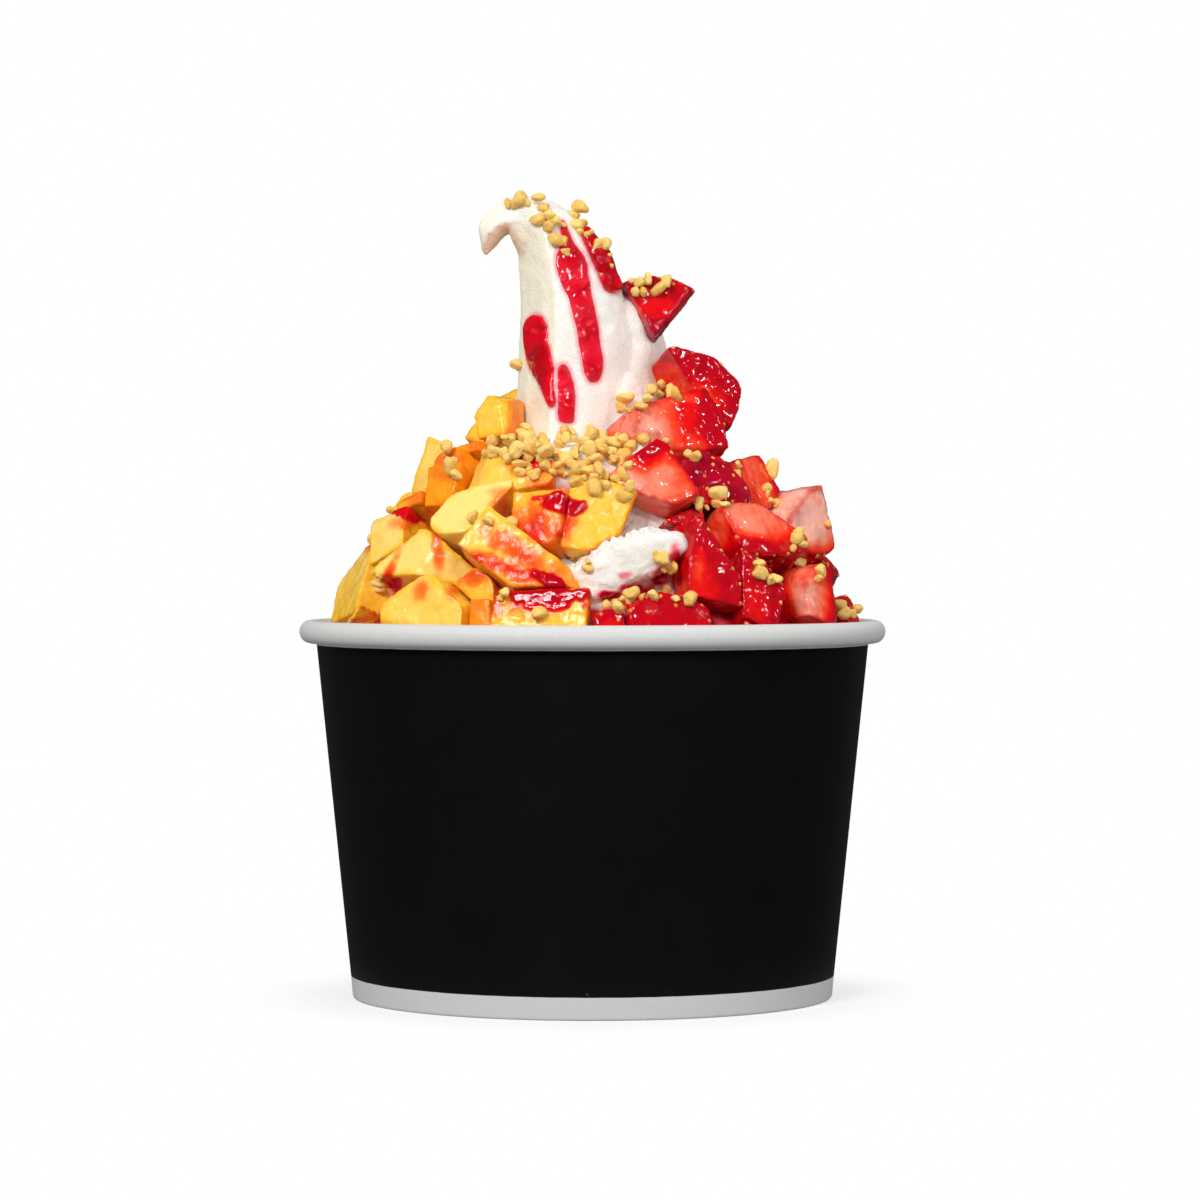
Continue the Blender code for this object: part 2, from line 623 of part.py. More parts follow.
def make_soft_serve():
    """Everything frozen, as one solid from the cup's base to the hooked peak."""
    low = BASE_TOP + GAP
    outline = [(0, low), (wall_radius(low) - PAPER - FILL_GAP, low)]
    fill_top = CUP_HEIGHT - ROLL_HEIGHT - 1.5
    outline.append((wall_radius(fill_top) - PAPER - FILL_GAP, fill_top))
    outline += MOUND
    outline.append((0, MOUND[-1][1] + 2))
    body = turned("soft_serve", outline, FILL_SEGMENTS, "soft_serve")
    lumps = [make_lump(number, *row) for number, row in enumerate(LUMPS)]
    turns = [lofted("lower_turn", round_sections(LOWER_TURN)),
             lofted("back_turn", round_sections(BACK_TURN))]
    boolean(body, "UNION", [lofted("peak", peak_sections()), *turns, *lumps])
    return body


# ---------------------------------------------------------------- toppings

def surfaces(things):
    """One search tree for each object, in millimetres."""
    trees = {}
    for thing in things:
        mesh = thing.data
        corners = [vert.co / MM for vert in mesh.vertices]
        trees[thing.name] = BVHTree.FromPolygons(corners, [tuple(face.vertices) for face in mesh.polygons])
    return trees


def sighted(trees, x, z, turn=0):
    """What a viewer at that turn round the cup sees at x, z: name, place, normal."""
    around = Matrix.Rotation(math.radians(turn), 3, "Z")
    eye = around @ Vector((0, -EYE_DISTANCE, EYE_HEIGHT))
    target = around @ Vector((x, 0, z))
    ray = (target - eye).normalized()
    best = None
    for name, tree in trees.items():
        place, normal, _, distance = tree.ray_cast(eye, ray)
        if place is not None and (best is None or distance < best[3]):
            best = (name, place, normal, distance)
    return best


def run_points(points, step):
    """Points at even steps along a run, each with its width."""
    spots = []
    for (x0, z0, w0), (x1, z1, w1) in zip(points, points[1:]):
        count = max(1, round(math.hypot(x1 - x0, z1 - z0) / step))
        shares = [at / count for at in range(count)]
        spots += [(x0 + (x1 - x0) * s, z0 + (z1 - z0) * s, w0 + (w1 - w0) * s) for s in shares]
    return [*spots, points[-1]]


def make_drizzle(number, turn, thick, points, trees):
    """A raised run of sauce that follows the surface under it."""
    spots = run_points(points, DRIZZLE_STEP)
    sections = []
    for at, (x, z, width) in enumerate(spots):
        before = Vector(spots[max(at - 1, 0)][:2])
        after = Vector(spots[min(at + 1, len(spots) - 1)][:2])
        along = (after - before).normalized()
        across = Vector((along.y, -along.x))
        _, middle, normal, _ = sighted(trees, x, z, turn)
        side = Matrix.Rotation(math.radians(turn), 3, "Z") @ Vector((across.x, 0, across.y))
        side = (side - normal * side.dot(normal)).normalized()
        ring = []
        for share, lift in ((-0.5, -DRIZZLE_ROOT / thick), *DRIZZLE_SECTION, (0.5, -DRIZZLE_ROOT / thick)):
            near, face_normal, _, _ = trees["soft_serve"].find_nearest(middle + side * (share * width))
            ring.append(near + face_normal * (lift * thick + 0.02))
        sections.append(ring)
    return lofted(f"drizzle_{number}", sections)


def make_grain(number, place, normal, size, hand):
    """One uneven grain of pollen, a third of it sunk in what it lies on."""
    bm = bmesh.new()
    bmesh.ops.create_icosphere(bm, subdivisions=1, radius=size / 2)
    stretch = Matrix.Diagonal((hand.uniform(0.8, 1.3), hand.uniform(0.8, 1.1), hand.uniform(0.65, 0.9), 1))
    spin = Matrix.Rotation(hand.uniform(0, math.tau), 4, "Z") @ stretch
    turn = normal.to_track_quat("Z", "Y").to_matrix().to_4x4()
    spot = Matrix.Translation(place + normal * size * GRAIN_STAND)
    bmesh.ops.transform(bm, matrix=Matrix.Scale(MM, 4) @ spot @ turn @ spin, verts=bm.verts)
    return add_object(f"grain_{number}", mesh_of(f"grain_{number}", bm), "soft_serve")


def grain_spots(trees):
    """Where each grain lies, from the runs seen in front and from the other sides."""
    hand = random.Random(11)
    runs = [(0, *run) for run in GRAIN_RUNS] + FAR_GRAIN_RUNS
    taken = []
    for turn, start, end, spread, count in runs:
        for step in range(count):
            share = (step + hand.random()) / count
            size = GRAIN_SIZE * hand.choice(GRAIN_MIX)
            x = start[0] + (end[0] - start[0]) * share + hand.uniform(-spread, spread)
            z = start[1] + (end[1] - start[1]) * share + hand.uniform(-spread, spread)
            hit = sighted(trees, x, z, turn)
            if hit is None:
                continue
            name, place, normal, _ = hit
            crowded = any((place - other).length < GRAIN_CROWDING * (size + width)
                          for other, width in taken)
            if crowded or not clear_of_others(trees, name, place, size):
                continue
            taken.append((place, size))
            yield name, place, normal, size


def clear_of_others(trees, own, place, size):
    reach = size * GRAIN_REACH + GAP
    return all(tree.find_nearest(place)[3] > reach for name, tree in trees.items() if name != own)


def add_toppings(things):
    """Fuse drizzle and pollen to what they lie on."""
    by_name = {thing.name: thing for thing in things}
    trees = surfaces([by_name["soft_serve"]])
    drizzle = [make_drizzle(number, *row, trees) for number, row in enumerate(DRIZZLES)]
    boolean(by_name["soft_serve"], "UNION", drizzle)
    trees = surfaces(things)
    hand = random.Random(23)
    grains = {}
    for number, (name, place, normal, size) in enumerate(grain_spots(trees)):
        if name in ("cup_wall", "cup_base"):
            continue
        grains.setdefault(name, []).append(make_grain(number, place, normal, size, hand))
    for name, group in grains.items():
        boolean(by_name[name], "UNION", group)


def build():
    clear_scene()
    make_cup()
    chunks = make_fruit()
    body = make_soft_serve()
    boolean(body, "DIFFERENCE", [chunk.pocket() for chunk in chunks])
    for chunk in chunks:
        chunk.chamfer()
    fruit = [chunk.place() for chunk in chunks]
    add_toppings([body, bpy.data.objects["cup_wall"], *fruit])


build()
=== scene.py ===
"""Sundae cup: soft-serve, cut mango and strawberry, berry sauce and bee pollen in a paper cup.

Sizes in the sections are millimetres; meshes are metres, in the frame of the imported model.
"""

import math
import random

import bpy
import numpy as np
from mathutils import Matrix, Vector, kdtree, noise
from mathutils.bvhtree import BVHTree


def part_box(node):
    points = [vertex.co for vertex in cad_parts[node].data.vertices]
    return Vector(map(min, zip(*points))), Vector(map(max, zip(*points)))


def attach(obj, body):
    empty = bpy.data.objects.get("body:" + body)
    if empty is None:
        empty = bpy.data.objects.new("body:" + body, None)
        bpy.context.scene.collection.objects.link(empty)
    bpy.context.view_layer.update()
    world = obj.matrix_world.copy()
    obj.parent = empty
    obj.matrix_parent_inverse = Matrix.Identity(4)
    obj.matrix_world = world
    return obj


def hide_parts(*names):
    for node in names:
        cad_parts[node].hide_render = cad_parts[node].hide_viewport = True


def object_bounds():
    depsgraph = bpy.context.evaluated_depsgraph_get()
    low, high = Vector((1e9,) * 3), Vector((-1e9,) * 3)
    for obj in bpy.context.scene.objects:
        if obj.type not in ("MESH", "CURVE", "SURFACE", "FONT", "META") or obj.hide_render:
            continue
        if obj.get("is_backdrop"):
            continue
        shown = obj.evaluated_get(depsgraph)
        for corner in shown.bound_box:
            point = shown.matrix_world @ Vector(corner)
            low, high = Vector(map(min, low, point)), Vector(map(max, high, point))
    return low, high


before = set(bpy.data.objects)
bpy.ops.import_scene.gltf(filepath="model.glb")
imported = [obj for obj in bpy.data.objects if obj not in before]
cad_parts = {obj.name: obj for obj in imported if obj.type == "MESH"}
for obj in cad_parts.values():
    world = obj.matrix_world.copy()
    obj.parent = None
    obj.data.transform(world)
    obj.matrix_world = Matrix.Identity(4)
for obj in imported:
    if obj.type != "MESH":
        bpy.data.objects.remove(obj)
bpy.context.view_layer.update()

# -------------------- view, floor and light
# The cup stands on a pale sheet that fades into the white surround. One soft box stands high
# at the left front, wide weak panels fill the shadows and small lamps make the wet sparkle.

MM = 0.001
EYE = Vector((1.44, -859, 88.3)) * MM
TARGET = Vector((1.44, 0, 75.8)) * MM
LENS = 134.6


def linear(red, green, blue):
    """A colour given by its screen values, 0 to 255, as the shader's linear numbers."""
    shares = [value / 255 for value in (red, green, blue)]
    return tuple(s / 12.92 if s < 0.04045 else ((s + 0.055) / 1.055) ** 2.4 for s in shares)


def aimed(thing, place, target):
    thing.location = place
    thing.rotation_euler = (target - place).to_track_quat("-Z", "Y").to_euler()


camera = bpy.data.objects.new("camera", bpy.data.cameras.new("camera"))
bpy.context.scene.collection.objects.link(camera)
camera.data.lens = LENS
camera.data.sensor_width = 36
aimed(camera, EYE, TARGET)
bpy.context.scene.camera = camera
bpy.context.scene.view_settings.view_transform = "Standard"

# Name, place and size in metres, watts and colour
LAMPS = [
    ("key", (-0.8, -1.6, 1.25), 0.5, 24, (1, 0.985, 0.965)),
    ("fill", (1.6, -1.4, 0.8), 2, 5.5, (0.97, 0.985, 1)),
    ("top", (0.1, 0.2, 1.7), 1.6, 5.5, (1, 1, 1)),
    ("back", (0.5, 1.6, 1), 1.2, 5, (1, 1, 1)),
    ("side_left", (-1.6, 0.2, 0.4), 2.4, 5.5, (1, 1, 1)),
    ("side_right", (1.6, 0.2, 0.4), 2.4, 4, (1, 1, 1)),
    ("sparkle_left", (-0.35, -1.2, 0.75), 0.1, 3, (1, 1, 1)),
    ("sparkle_right", (0.5, -1.1, 0.7), 0.12, 3, (1, 1, 1)),
    ("sparkle_side", (1.4, -0.6, 0.9), 0.13, 2.2, (1, 1, 1)),
]
# Wider ones light the fruit but don't show mirrored in it as a milky veil
MIRRORED_LAMP = 1
for name, place, size, power, colour in LAMPS:
    lamp = bpy.data.lights.new(name, "AREA")
    lamp.energy = power
    lamp.size = size
    lamp.color = colour
    holder = bpy.data.objects.new(name, lamp)
    bpy.context.scene.collection.objects.link(holder)
    holder.visible_glossy = size < MIRRORED_LAMP
    aimed(holder, Vector(place), Vector((0, 0, 0.08)))


class Value:
    """A node's output socket that Python arithmetic adds Math nodes to."""

    def __init__(self, nodes, socket):
        self.nodes = nodes
        self.socket = socket

    def math(self, operation, first, second=0):
        return self.nodes.node("ShaderNodeMath", {"operation": operation}, {0: first, 1: second})

    def __add__(self, other):
        return self.math("ADD", self, other)

    def __sub__(self, other):
        return self.math("SUBTRACT", self, other)

    def __rsub__(self, other):
        return self.math("SUBTRACT", other, self)

    def __mul__(self, other):
        return self.math("MULTIPLY", self, other)

    __radd__ = __add__
    __rmul__ = __mul__

    def step(self, low, high):
        """0 below low, 1 above high and smooth between."""
        return self.nodes.node("ShaderNodeMapRange", {"interpolation_type": "SMOOTHSTEP"},
                               {"Value": self, "From Min": low, "From Max": high}, "Result")


class Nodes:
    """A tree of nodes to build in."""

    def __init__(self, tree):
        self.tree = tree

    def node(self, kind, settings, sockets, out=0):
        """Any node: its type, its settings, then the values or links of its sockets."""
        made = self.tree.nodes.new(kind)
        for key, value in settings.items():
            setattr(made, key, value)
        for key, value in sockets.items():
            if isinstance(value, Value):
                self.tree.links.new(value.socket, made.inputs[key])
            else:
                made.inputs[key].default_value = value
        return Value(self, made.outputs[out])


# The white surround looks brighter than the light it gives, and mirrors weakest
AMBIENT = 0.33
MIRRORED = 0.06
world = bpy.data.worlds.new("studio")
world.use_nodes = True
background = world.node_tree.nodes["Background"]
background.inputs["Color"].default_value = (1, 1, 1, 1)
sky = Nodes(world.node_tree)
glossy = sky.node("ShaderNodeLightPath", {}, {}, "Is Glossy Ray")
looked_at = sky.node("ShaderNodeLightPath", {}, {}, "Is Camera Ray")
given = sky.node("ShaderNodeMapRange", {}, {"Value": glossy, "To Min": AMBIENT, "To Max": MIRRORED},
                 "Result")
shown = sky.node("ShaderNodeMix", {}, {"Factor": looked_at, "A": given, "B": 1}, "Result")
world.node_tree.links.new(shown.socket, background.inputs["Strength"])
bpy.context.scene.world = world


class Finish(Nodes):
    """A material and its nodes; constant sockets of the shader are set by name."""

    def __init__(self, name, **constants):
        self.material = bpy.data.materials.new(name)
        self.material.use_nodes = True
        super().__init__(self.material.node_tree)
        self.shader = self.tree.nodes["Principled BSDF"]
        self.place = self.node("ShaderNodeTexCoord", {}, {}, "Object")
        for socket, value in constants.items():
            self.shader.inputs[socket.replace("_", " ")].default_value = value

    def attribute(self, name, out="Fac"):
        return self.node("ShaderNodeAttribute", {"attribute_name": name}, {}, out)

    def noise(self, scale, detail=3, roughness=0.55, vector=None):
        return self.node("ShaderNodeTexNoise", {}, {"Vector": vector or self.place, "Scale": scale,
                                                    "Detail": detail, "Roughness": roughness})

    def ripples(self, scale, patches):
        """Small soft waves of moisture, in patches."""
        return self.noise(scale, 1) * self.noise(patches, 1).step(0.4, 0.6)

    def mix(self, share, first, second):
        """The first colour where share is 0 and the second where it is 1, by screen values."""
        ends = [end if isinstance(end, Value) else (*linear(*end), 1) for end in (first, second)]
        return self.node("ShaderNodeMix", {"data_type": "RGBA"}, {0: share, 6: ends[0], 7: ends[1]}, 2)

    def layered(self, colour, *layers):
        """A colour with others over it, each where its own share is 1."""
        for share, over in layers:
            colour = self.mix(share, colour, over)
        return colour

    def stretched(self, vector, scale):
        return self.node("ShaderNodeMapping", {}, {"Vector": vector, "Scale": scale})

    def bump(self, height, distance, strength=1):
        sockets = {"Height": height, "Distance": distance, "Strength": strength}
        return self.node("ShaderNodeBump", {}, sockets, "Normal")

    def drive(self, **links):
        """Lead what varies over the surface to the shader."""
        for socket, value in links.items():
            self.tree.links.new(value.socket, self.shader.inputs[socket.replace("_", " ")])

    def on(self, thing):
        thing.data.materials.clear()
        thing.data.materials.append(self.material)


def added(primitive, **settings):
    """A new primitive, with nothing else selected for the operators to act on."""
    bpy.ops.object.select_all(action="DESELECT")
    primitive(**settings)
    return bpy.context.object


FLOOR_WIDTH = 12
FLOOR_FADE = (0.01, 0.075)
floor = added(bpy.ops.mesh.primitive_plane_add, size=FLOOR_WIDTH, location=(0, 0, 0))
floor.name = "floor"
sheet = Finish("floor_sheet", Roughness=0.75, Specular_IOR_Level=0.1)
away = sheet.node("ShaderNodeVectorMath", {"operation": "LENGTH"}, {0: sheet.place}, "Value")
cloud = sheet.noise(3)
sheet.drive(Base_Color=sheet.mix(cloud, (247, 247, 247), (249.3, 249.3, 249.3)),
            Alpha=1 - away.step(*FLOOR_FADE))
sheet.on(floor)
floor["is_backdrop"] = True

# -------------------- paper cup wall
# One sheet of coated paper, printed black and wound to a cone. It laps at the back,
# its top is rolled outwards to the rim and its foot is folded in round the base.

CUP_HEIGHT = 72
RIM_RADIUS = 56
ROLL_HEIGHT = 4.3
WALL_TOP_RADIUS = 52.75
FOOT_RADIUS = 45.8
PAPER = 0.7
SKIRT_HEIGHT = 6
SKIRT_PAPER = 1.5
BASE_TOP = 7.2
SIDES = 192
PRINT_LOW = 4.2
PRINT_HIGH = 67.3
LAP_TURN = math.radians(118)
LAP_WIDTH = math.radians(11)
LAP_STEP = 0.35


def alone(thing):
    """Make a thing the only selected and the active one."""
    bpy.ops.object.select_all(action="DESELECT")
    thing.select_set(True)
    bpy.context.view_layer.objects.active = thing


def drawn_on(low, high, share):
    """Extrude what is selected from one height to another, and scale it there."""
    bpy.ops.mesh.extrude_region_move(TRANSFORM_OT_translate={"value": (0, 0, (high - low) * MM)})
    bpy.ops.transform.resize(value=(share, share, 1), center_override=(0, 0, high * MM))


def select_open_edges():
    bpy.ops.mesh.select_all(action="DESELECT")
    bpy.ops.mesh.select_non_manifold()


def leave_closed():
    """Turn the faces of a closed mesh outwards and leave edit mode."""
    bpy.ops.mesh.select_all(action="SELECT")
    bpy.ops.mesh.normals_make_consistent(inside=False)
    bpy.ops.object.mode_set(mode="OBJECT")


def wall_radius(height):
    share = height / (CUP_HEIGHT - ROLL_HEIGHT)
    return FOOT_RADIUS + (WALL_TOP_RADIUS - FOOT_RADIUS) * share


def ringed(name, outline, closed):
    """Extrude a circle ring by ring along an outline of radii and heights."""
    radius, height = outline[0]
    thing = added(bpy.ops.mesh.primitive_circle_add, vertices=SIDES, radius=radius * MM,
                  location=(0, 0, height * MM))
    thing.name = name
    bpy.ops.object.transform_apply(location=True)
    bpy.ops.object.mode_set(mode="EDIT")
    bpy.ops.mesh.select_all(action="SELECT")
    for next_radius, next_height in outline[1:]:
        drawn_on(height, next_height, next_radius / radius)
        radius, height = next_radius, next_height
    if closed:
        select_open_edges()
        bpy.ops.mesh.bridge_edge_loops()
    else:
        bpy.ops.mesh.edge_face_add()
        select_open_edges()
        bpy.ops.mesh.edge_face_add()
    leave_closed()
    return thing


def smooth_by_angle(thing, degrees):
    alone(thing)
    bpy.ops.object.shade_smooth_by_angle(angle=math.radians(degrees))


def vectors(items, name):
    flat = np.empty(len(items) * 3, np.float32)
    items.foreach_get(name, flat)
    return flat.reshape(-1, 3).astype(float)


def points_of(thing):
    return vectors(thing.data.vertices, "co")


def normals_of(thing):
    return vectors(thing.data.vertex_normals, "vector")


def put_points(thing, points):
    thing.data.vertices.foreach_set("co", points.astype(np.float32).ravel())
    thing.data.update()


roll_low = CUP_HEIGHT - ROLL_HEIGHT
inner_top = WALL_TOP_RADIUS - PAPER
half_width = (RIM_RADIUS - inner_top) / 2
outline = [(FOOT_RADIUS, 0.25), (FOOT_RADIUS + 0.1, 0.6)]
outline += [(wall_radius(roll_low * share), roll_low * share) for share in np.linspace(0.04, 1, 24)]
for turn in np.linspace(-96, 180, 22):
    across = half_width * math.cos(math.radians(turn))
    up = ROLL_HEIGHT / 2 * math.sin(math.radians(turn))
    outline.append((inner_top + half_width + across, roll_low + ROLL_HEIGHT / 2 + up))
outline += [(wall_radius(SKIRT_HEIGHT + 0.2) - PAPER, SKIRT_HEIGHT + 0.2),
            (wall_radius(SKIRT_HEIGHT) - PAPER - 0.3, SKIRT_HEIGHT),
            (wall_radius(SKIRT_HEIGHT) - SKIRT_PAPER, SKIRT_HEIGHT - PAPER),
            (FOOT_RADIUS - SKIRT_PAPER, 0.25),
            (FOOT_RADIUS - SKIRT_PAPER + 0.25, 0),
            (FOOT_RADIUS - 0.25, 0)]
cup = ringed("paper_cup", outline, closed=True)

# The lap: the outer layer's edge stands a paper's thickness proud and thins out
points = points_of(cup)
radii = np.hypot(points[:, 0], points[:, 1])
turns = np.arctan2(points[:, 1], points[:, 0])
heights = points[:, 2] / MM
outside = radii / MM > FOOT_RADIUS + (WALL_TOP_RADIUS - FOOT_RADIUS) * heights / roll_low - PAPER / 2
past = np.mod(turns - LAP_TURN, math.tau)
lifted = np.where((past < LAP_WIDTH) & outside & (heights < roll_low), 1 - past / LAP_WIDTH, 0)
points[:, :2] *= (1 + LAP_STEP * MM * lifted / radii)[:, None]
put_points(cup, points)
smooth_by_angle(cup, 50)

paper = Finish("cup_paper", IOR=1.5, Specular_IOR_Level=0.1, Coat_Roughness=0.3)
height = paper.node("ShaderNodeSeparateXYZ", {}, {"Vector": paper.place}, "Z")
wobble = (paper.noise(300) - 0.5) * 0.00012
printed = (height + wobble).step(PRINT_LOW * MM, (PRINT_LOW + 0.14) * MM)
printed = printed * (1 - (height + wobble).step(PRINT_HIGH * MM, (PRINT_HIGH + 0.14) * MM))
radius = paper.node("ShaderNodeVectorMath", {"operation": "LENGTH"},
                    {0: paper.node("ShaderNodeVectorMath", {"operation": "MULTIPLY"},
                                   {0: paper.place, 1: (1, 1, 0)})}, "Value")
wall_line = FOOT_RADIUS * MM + (WALL_TOP_RADIUS - FOOT_RADIUS) / roll_low * height
printed = printed * (radius - wall_line).step(-0.45 * PAPER * MM, -0.3 * PAPER * MM)
fibre = paper.noise(1500, 4, vector=paper.stretched(paper.place, (1, 1, 0.35)))
mottle = paper.noise(90, 4)
black = paper.mix(mottle, (9, 9, 9), (14, 14, 14))
bare = paper.mix(fibre, (200, 200, 199), (210, 210, 209))
scuff = (1 - (height - (PRINT_LOW * MM)).step(0, 0.0016)) * paper.noise(700).step(0.66, 0.74)
black = paper.mix(scuff * 0.35, black, (120, 118, 116))
# Painted shade: the bare paper goes darker towards the foot, below 6 mm
bare = paper.mix((1 - height.step(0.003, 0.006)) * 0.3, bare, (160, 160, 159))
paper.drive(Base_Color=paper.mix(printed, bare, black),
            Roughness=0.52 + printed * -0.12 + (mottle - 0.5) * 0.12,
            Coat_Weight=printed * 0.05,
            Normal=paper.bump(fibre * 0.5 + mottle * 0.7, 0.00012, 0.5))
paper.on(cup)
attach(cup, "root")
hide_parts("cup_wall")

# -------------------- paper base
# A round blank of bare coated paper, pressed down inside the wall and held there by the
# folded skirt. The press leaves a shallow ring a little in from its edge.

GAP = 0.35
edge = wall_radius(SKIRT_HEIGHT + GAP) - PAPER - GAP
low = SKIRT_HEIGHT + GAP
outline = [(2, BASE_TOP), (34, BASE_TOP), (35, BASE_TOP - 0.3), (37, BASE_TOP - 0.3),
           (38, BASE_TOP), (edge - 0.2, BASE_TOP), (edge, BASE_TOP - 0.2), (edge, low + 0.2),
           (edge - 0.2, low), (38.2, low), (37.2, low - 0.3), (34.8, low - 0.3), (33.8, low), (2, low)]
base = ringed("paper_base", outline, closed=False)
smooth_by_angle(base, 40)
blank = Finish("base_paper", IOR=1.5)
fibre = blank.noise(1400, 4)
blank.drive(Base_Color=blank.mix(fibre, (222, 220, 215), (238, 237, 233)),
            Roughness=0.5 + fibre * 0.2,
            Normal=blank.bump(fibre, 0.0001, 0.5))
blank.on(base)
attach(base, "root")
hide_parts("cup_base")

# -------------------- soft-serve
# Frozen cream from a star nozzle. It fills the cup and mounds up under the fruit, then
# two loose turns carry the fluted peak, which was drawn up and fell over to a hook.

FILL_GAP = 0.55
VOXEL = 0.42
CREAM_TRIANGLES = 180000
MOUND = [(49, 68), (41, 75), (36, 83), (30, 91), (24, 98.5), (18, 104)]
LOWER_TURN = [(-0.6, 5, 98, 15.4), (-0.6, 5.2, 108, 15.4), (-0.4, 5.2, 116, 14.4),
              (0, 5, 120, 12.2), (0, 5, 123, 8.6)]
BACK_TURN = [(1, 4.5, 106, 13.5), (2.6, 4.5, 118, 11.4), (4, 4, 125, 9.8),
             (3.8, 3.4, 131, 7.8), (3.2, 2.6, 135, 4.4)]
# x and z of a section's middle, half its width and depth, its lean and its twist
PEAK = [
    (-3.4, 98, 12.6, 13, 8, 0),
    (-3.5, 105, 12, 12.6, 8, 0),
    (-3.5, 111.9, 11.2, 12, 7, 0),
    (-3.2, 118.2, 11.1, 11.4, 5, 0),
    (-2.9, 124.3, 10.9, 10.8, 3, 1),
    (-3.4, 129, 10.2, 10.2, 1, 2),
    (-3.9, 133.4, 9.5, 9.4, 0, 3),
    (-4.9, 138.4, 8.8, 8.4, 5, 5),
    (-6.5, 142.9, 7.6, 7.2, 10, 8),
    (-9, 146.4, 6.4, 6, 24, 20),
    (-12.1, 148.8, 5.4, 4.9, 46, 40),
    (-15.1, 149.5, 4.4, 4, 72, 70),
    (-17.9, 148.1, 3.6, 3.2, 98, 92),
    (-19.9, 145.8, 3.2, 2.6, 110, 100),
    (-21.3, 143.6, 2.7, 1.7, 100, 104),
]
PEAK_Y = -2
FLUTE_CRESTS = (-112, -12, 78, 168)
FLUTE_DEPTH = 0.23
FLUTE_WIDTH = 22
# Middle, half sizes, roll in the front view and squareness, from 2 for a ball
LUMPS = [
    ((6.4, -34.8, 83.6), (11.6, 8.4, 5), -26, 4.4),
    ((-6, -17, 99), (15, 11, 6.6), 0, 2),
    ((9, -13, 102), (8, 9, 6.6), 0, 2),
]


def pulled(name, section, rings=64, sides=96):
    """A ball pulled into a closed tube; section gives the points of a ring at a share of its length."""
    thing = added(bpy.ops.mesh.primitive_uv_sphere_add, segments=sides, ring_count=rings, radius=1)
    thing.name = name
    points = points_of(thing)
    down = np.arccos(np.clip(points[:, 2], -1, 1)) / math.pi
    turns = np.arctan2(points[:, 1], points[:, 0])
    put_points(thing, section(1 - down, turns) * MM)
    return thing


def eased(rows, share):
    """Rows of numbers read at shares of the way along them, smoothly."""
    rows = np.array(rows, float)
    at = np.clip(share, 0, 1) * (len(rows) - 1)
    low = np.clip(at.astype(int), 0, len(rows) - 2)
    part = (at - low)[:, None]
    before, first = rows[np.maximum(low - 1, 0)], rows[low]
    second, after = rows[low + 1], rows[np.minimum(low + 2, len(rows) - 1)]
    curve = (second - before) * part + (2 * before - 5 * first + 4 * second - after) * part ** 2
    return first + 0.5 * (curve + (3 * first - before - 3 * second + after) * part ** 3)


def smoothstep(values, low, high):
    share = np.clip((values - low) / (high - low), 0, 1)
    return share * share * (3 - 2 * share)


def end_share(share, reach):
    """How full a tube is near its ends, which are round over that share of its length."""
    near = np.clip(np.minimum(share, 1 - share) / reach, 0, 1)
    return np.sqrt(1 - (1 - near) ** 2)


def peak_section(share, turns):
    x, z, half_width, half_depth, lean, twist = eased(PEAK, share).T
    away = np.full(len(share), 180)
    for crest in FLUTE_CRESTS:
        away = np.minimum(away, np.abs(np.mod(np.degrees(turns) - twist - crest + 180, 360) - 180))
    reach = (1.05 - FLUTE_DEPTH * (1 - np.exp(-away / FLUTE_WIDTH))) * end_share(share, 0.035)
    across = half_width * reach * np.cos(turns)
    lean = np.radians(lean)
    return np.stack([x + across * np.cos(lean), PEAK_Y + half_depth * reach * np.sin(turns),
                     z + across * np.sin(lean)], axis=1)


def turn_section(rows):
    def section(share, turns):
        x, y, z, radius = eased(rows, share).T
        radius = radius * end_share(share, 0.16) * (1 + 0.025 * np.cos(7 * turns))
        return np.stack([x + radius * np.cos(turns), y + radius * np.sin(turns), z], axis=1)
    return section


def join(first, *others):
    alone(first)
    for thing in others:
        thing.select_set(True)
    bpy.ops.object.join()
    return first


def finished(thing, kind, **settings):
    """Add a modifier and apply it."""
    alone(thing)
    modifier = thing.modifiers.new(kind.lower(), kind)
    for key, value in settings.items():
        setattr(modifier, key, value)
    bpy.ops.object.modifier_apply(modifier=modifier.name)


def clouds(name, size, depth=2, kind="SOFT_NOISE"):
    """A cloud pattern with lumps of that size, for pushing a surface in and out."""
    texture = bpy.data.textures.new(name, "CLOUDS")
    texture.noise_type = kind
    texture.noise_scale = size * MM
    texture.noise_depth = depth
    return texture


def pushed(thing, texture, height, level=0.5, **settings):
    """Push a surface in and out by a cloud pattern."""
    finished(thing, "DISPLACE", texture=texture, texture_coords="GLOBAL", strength=height * MM,
             mid_level=level, **settings)


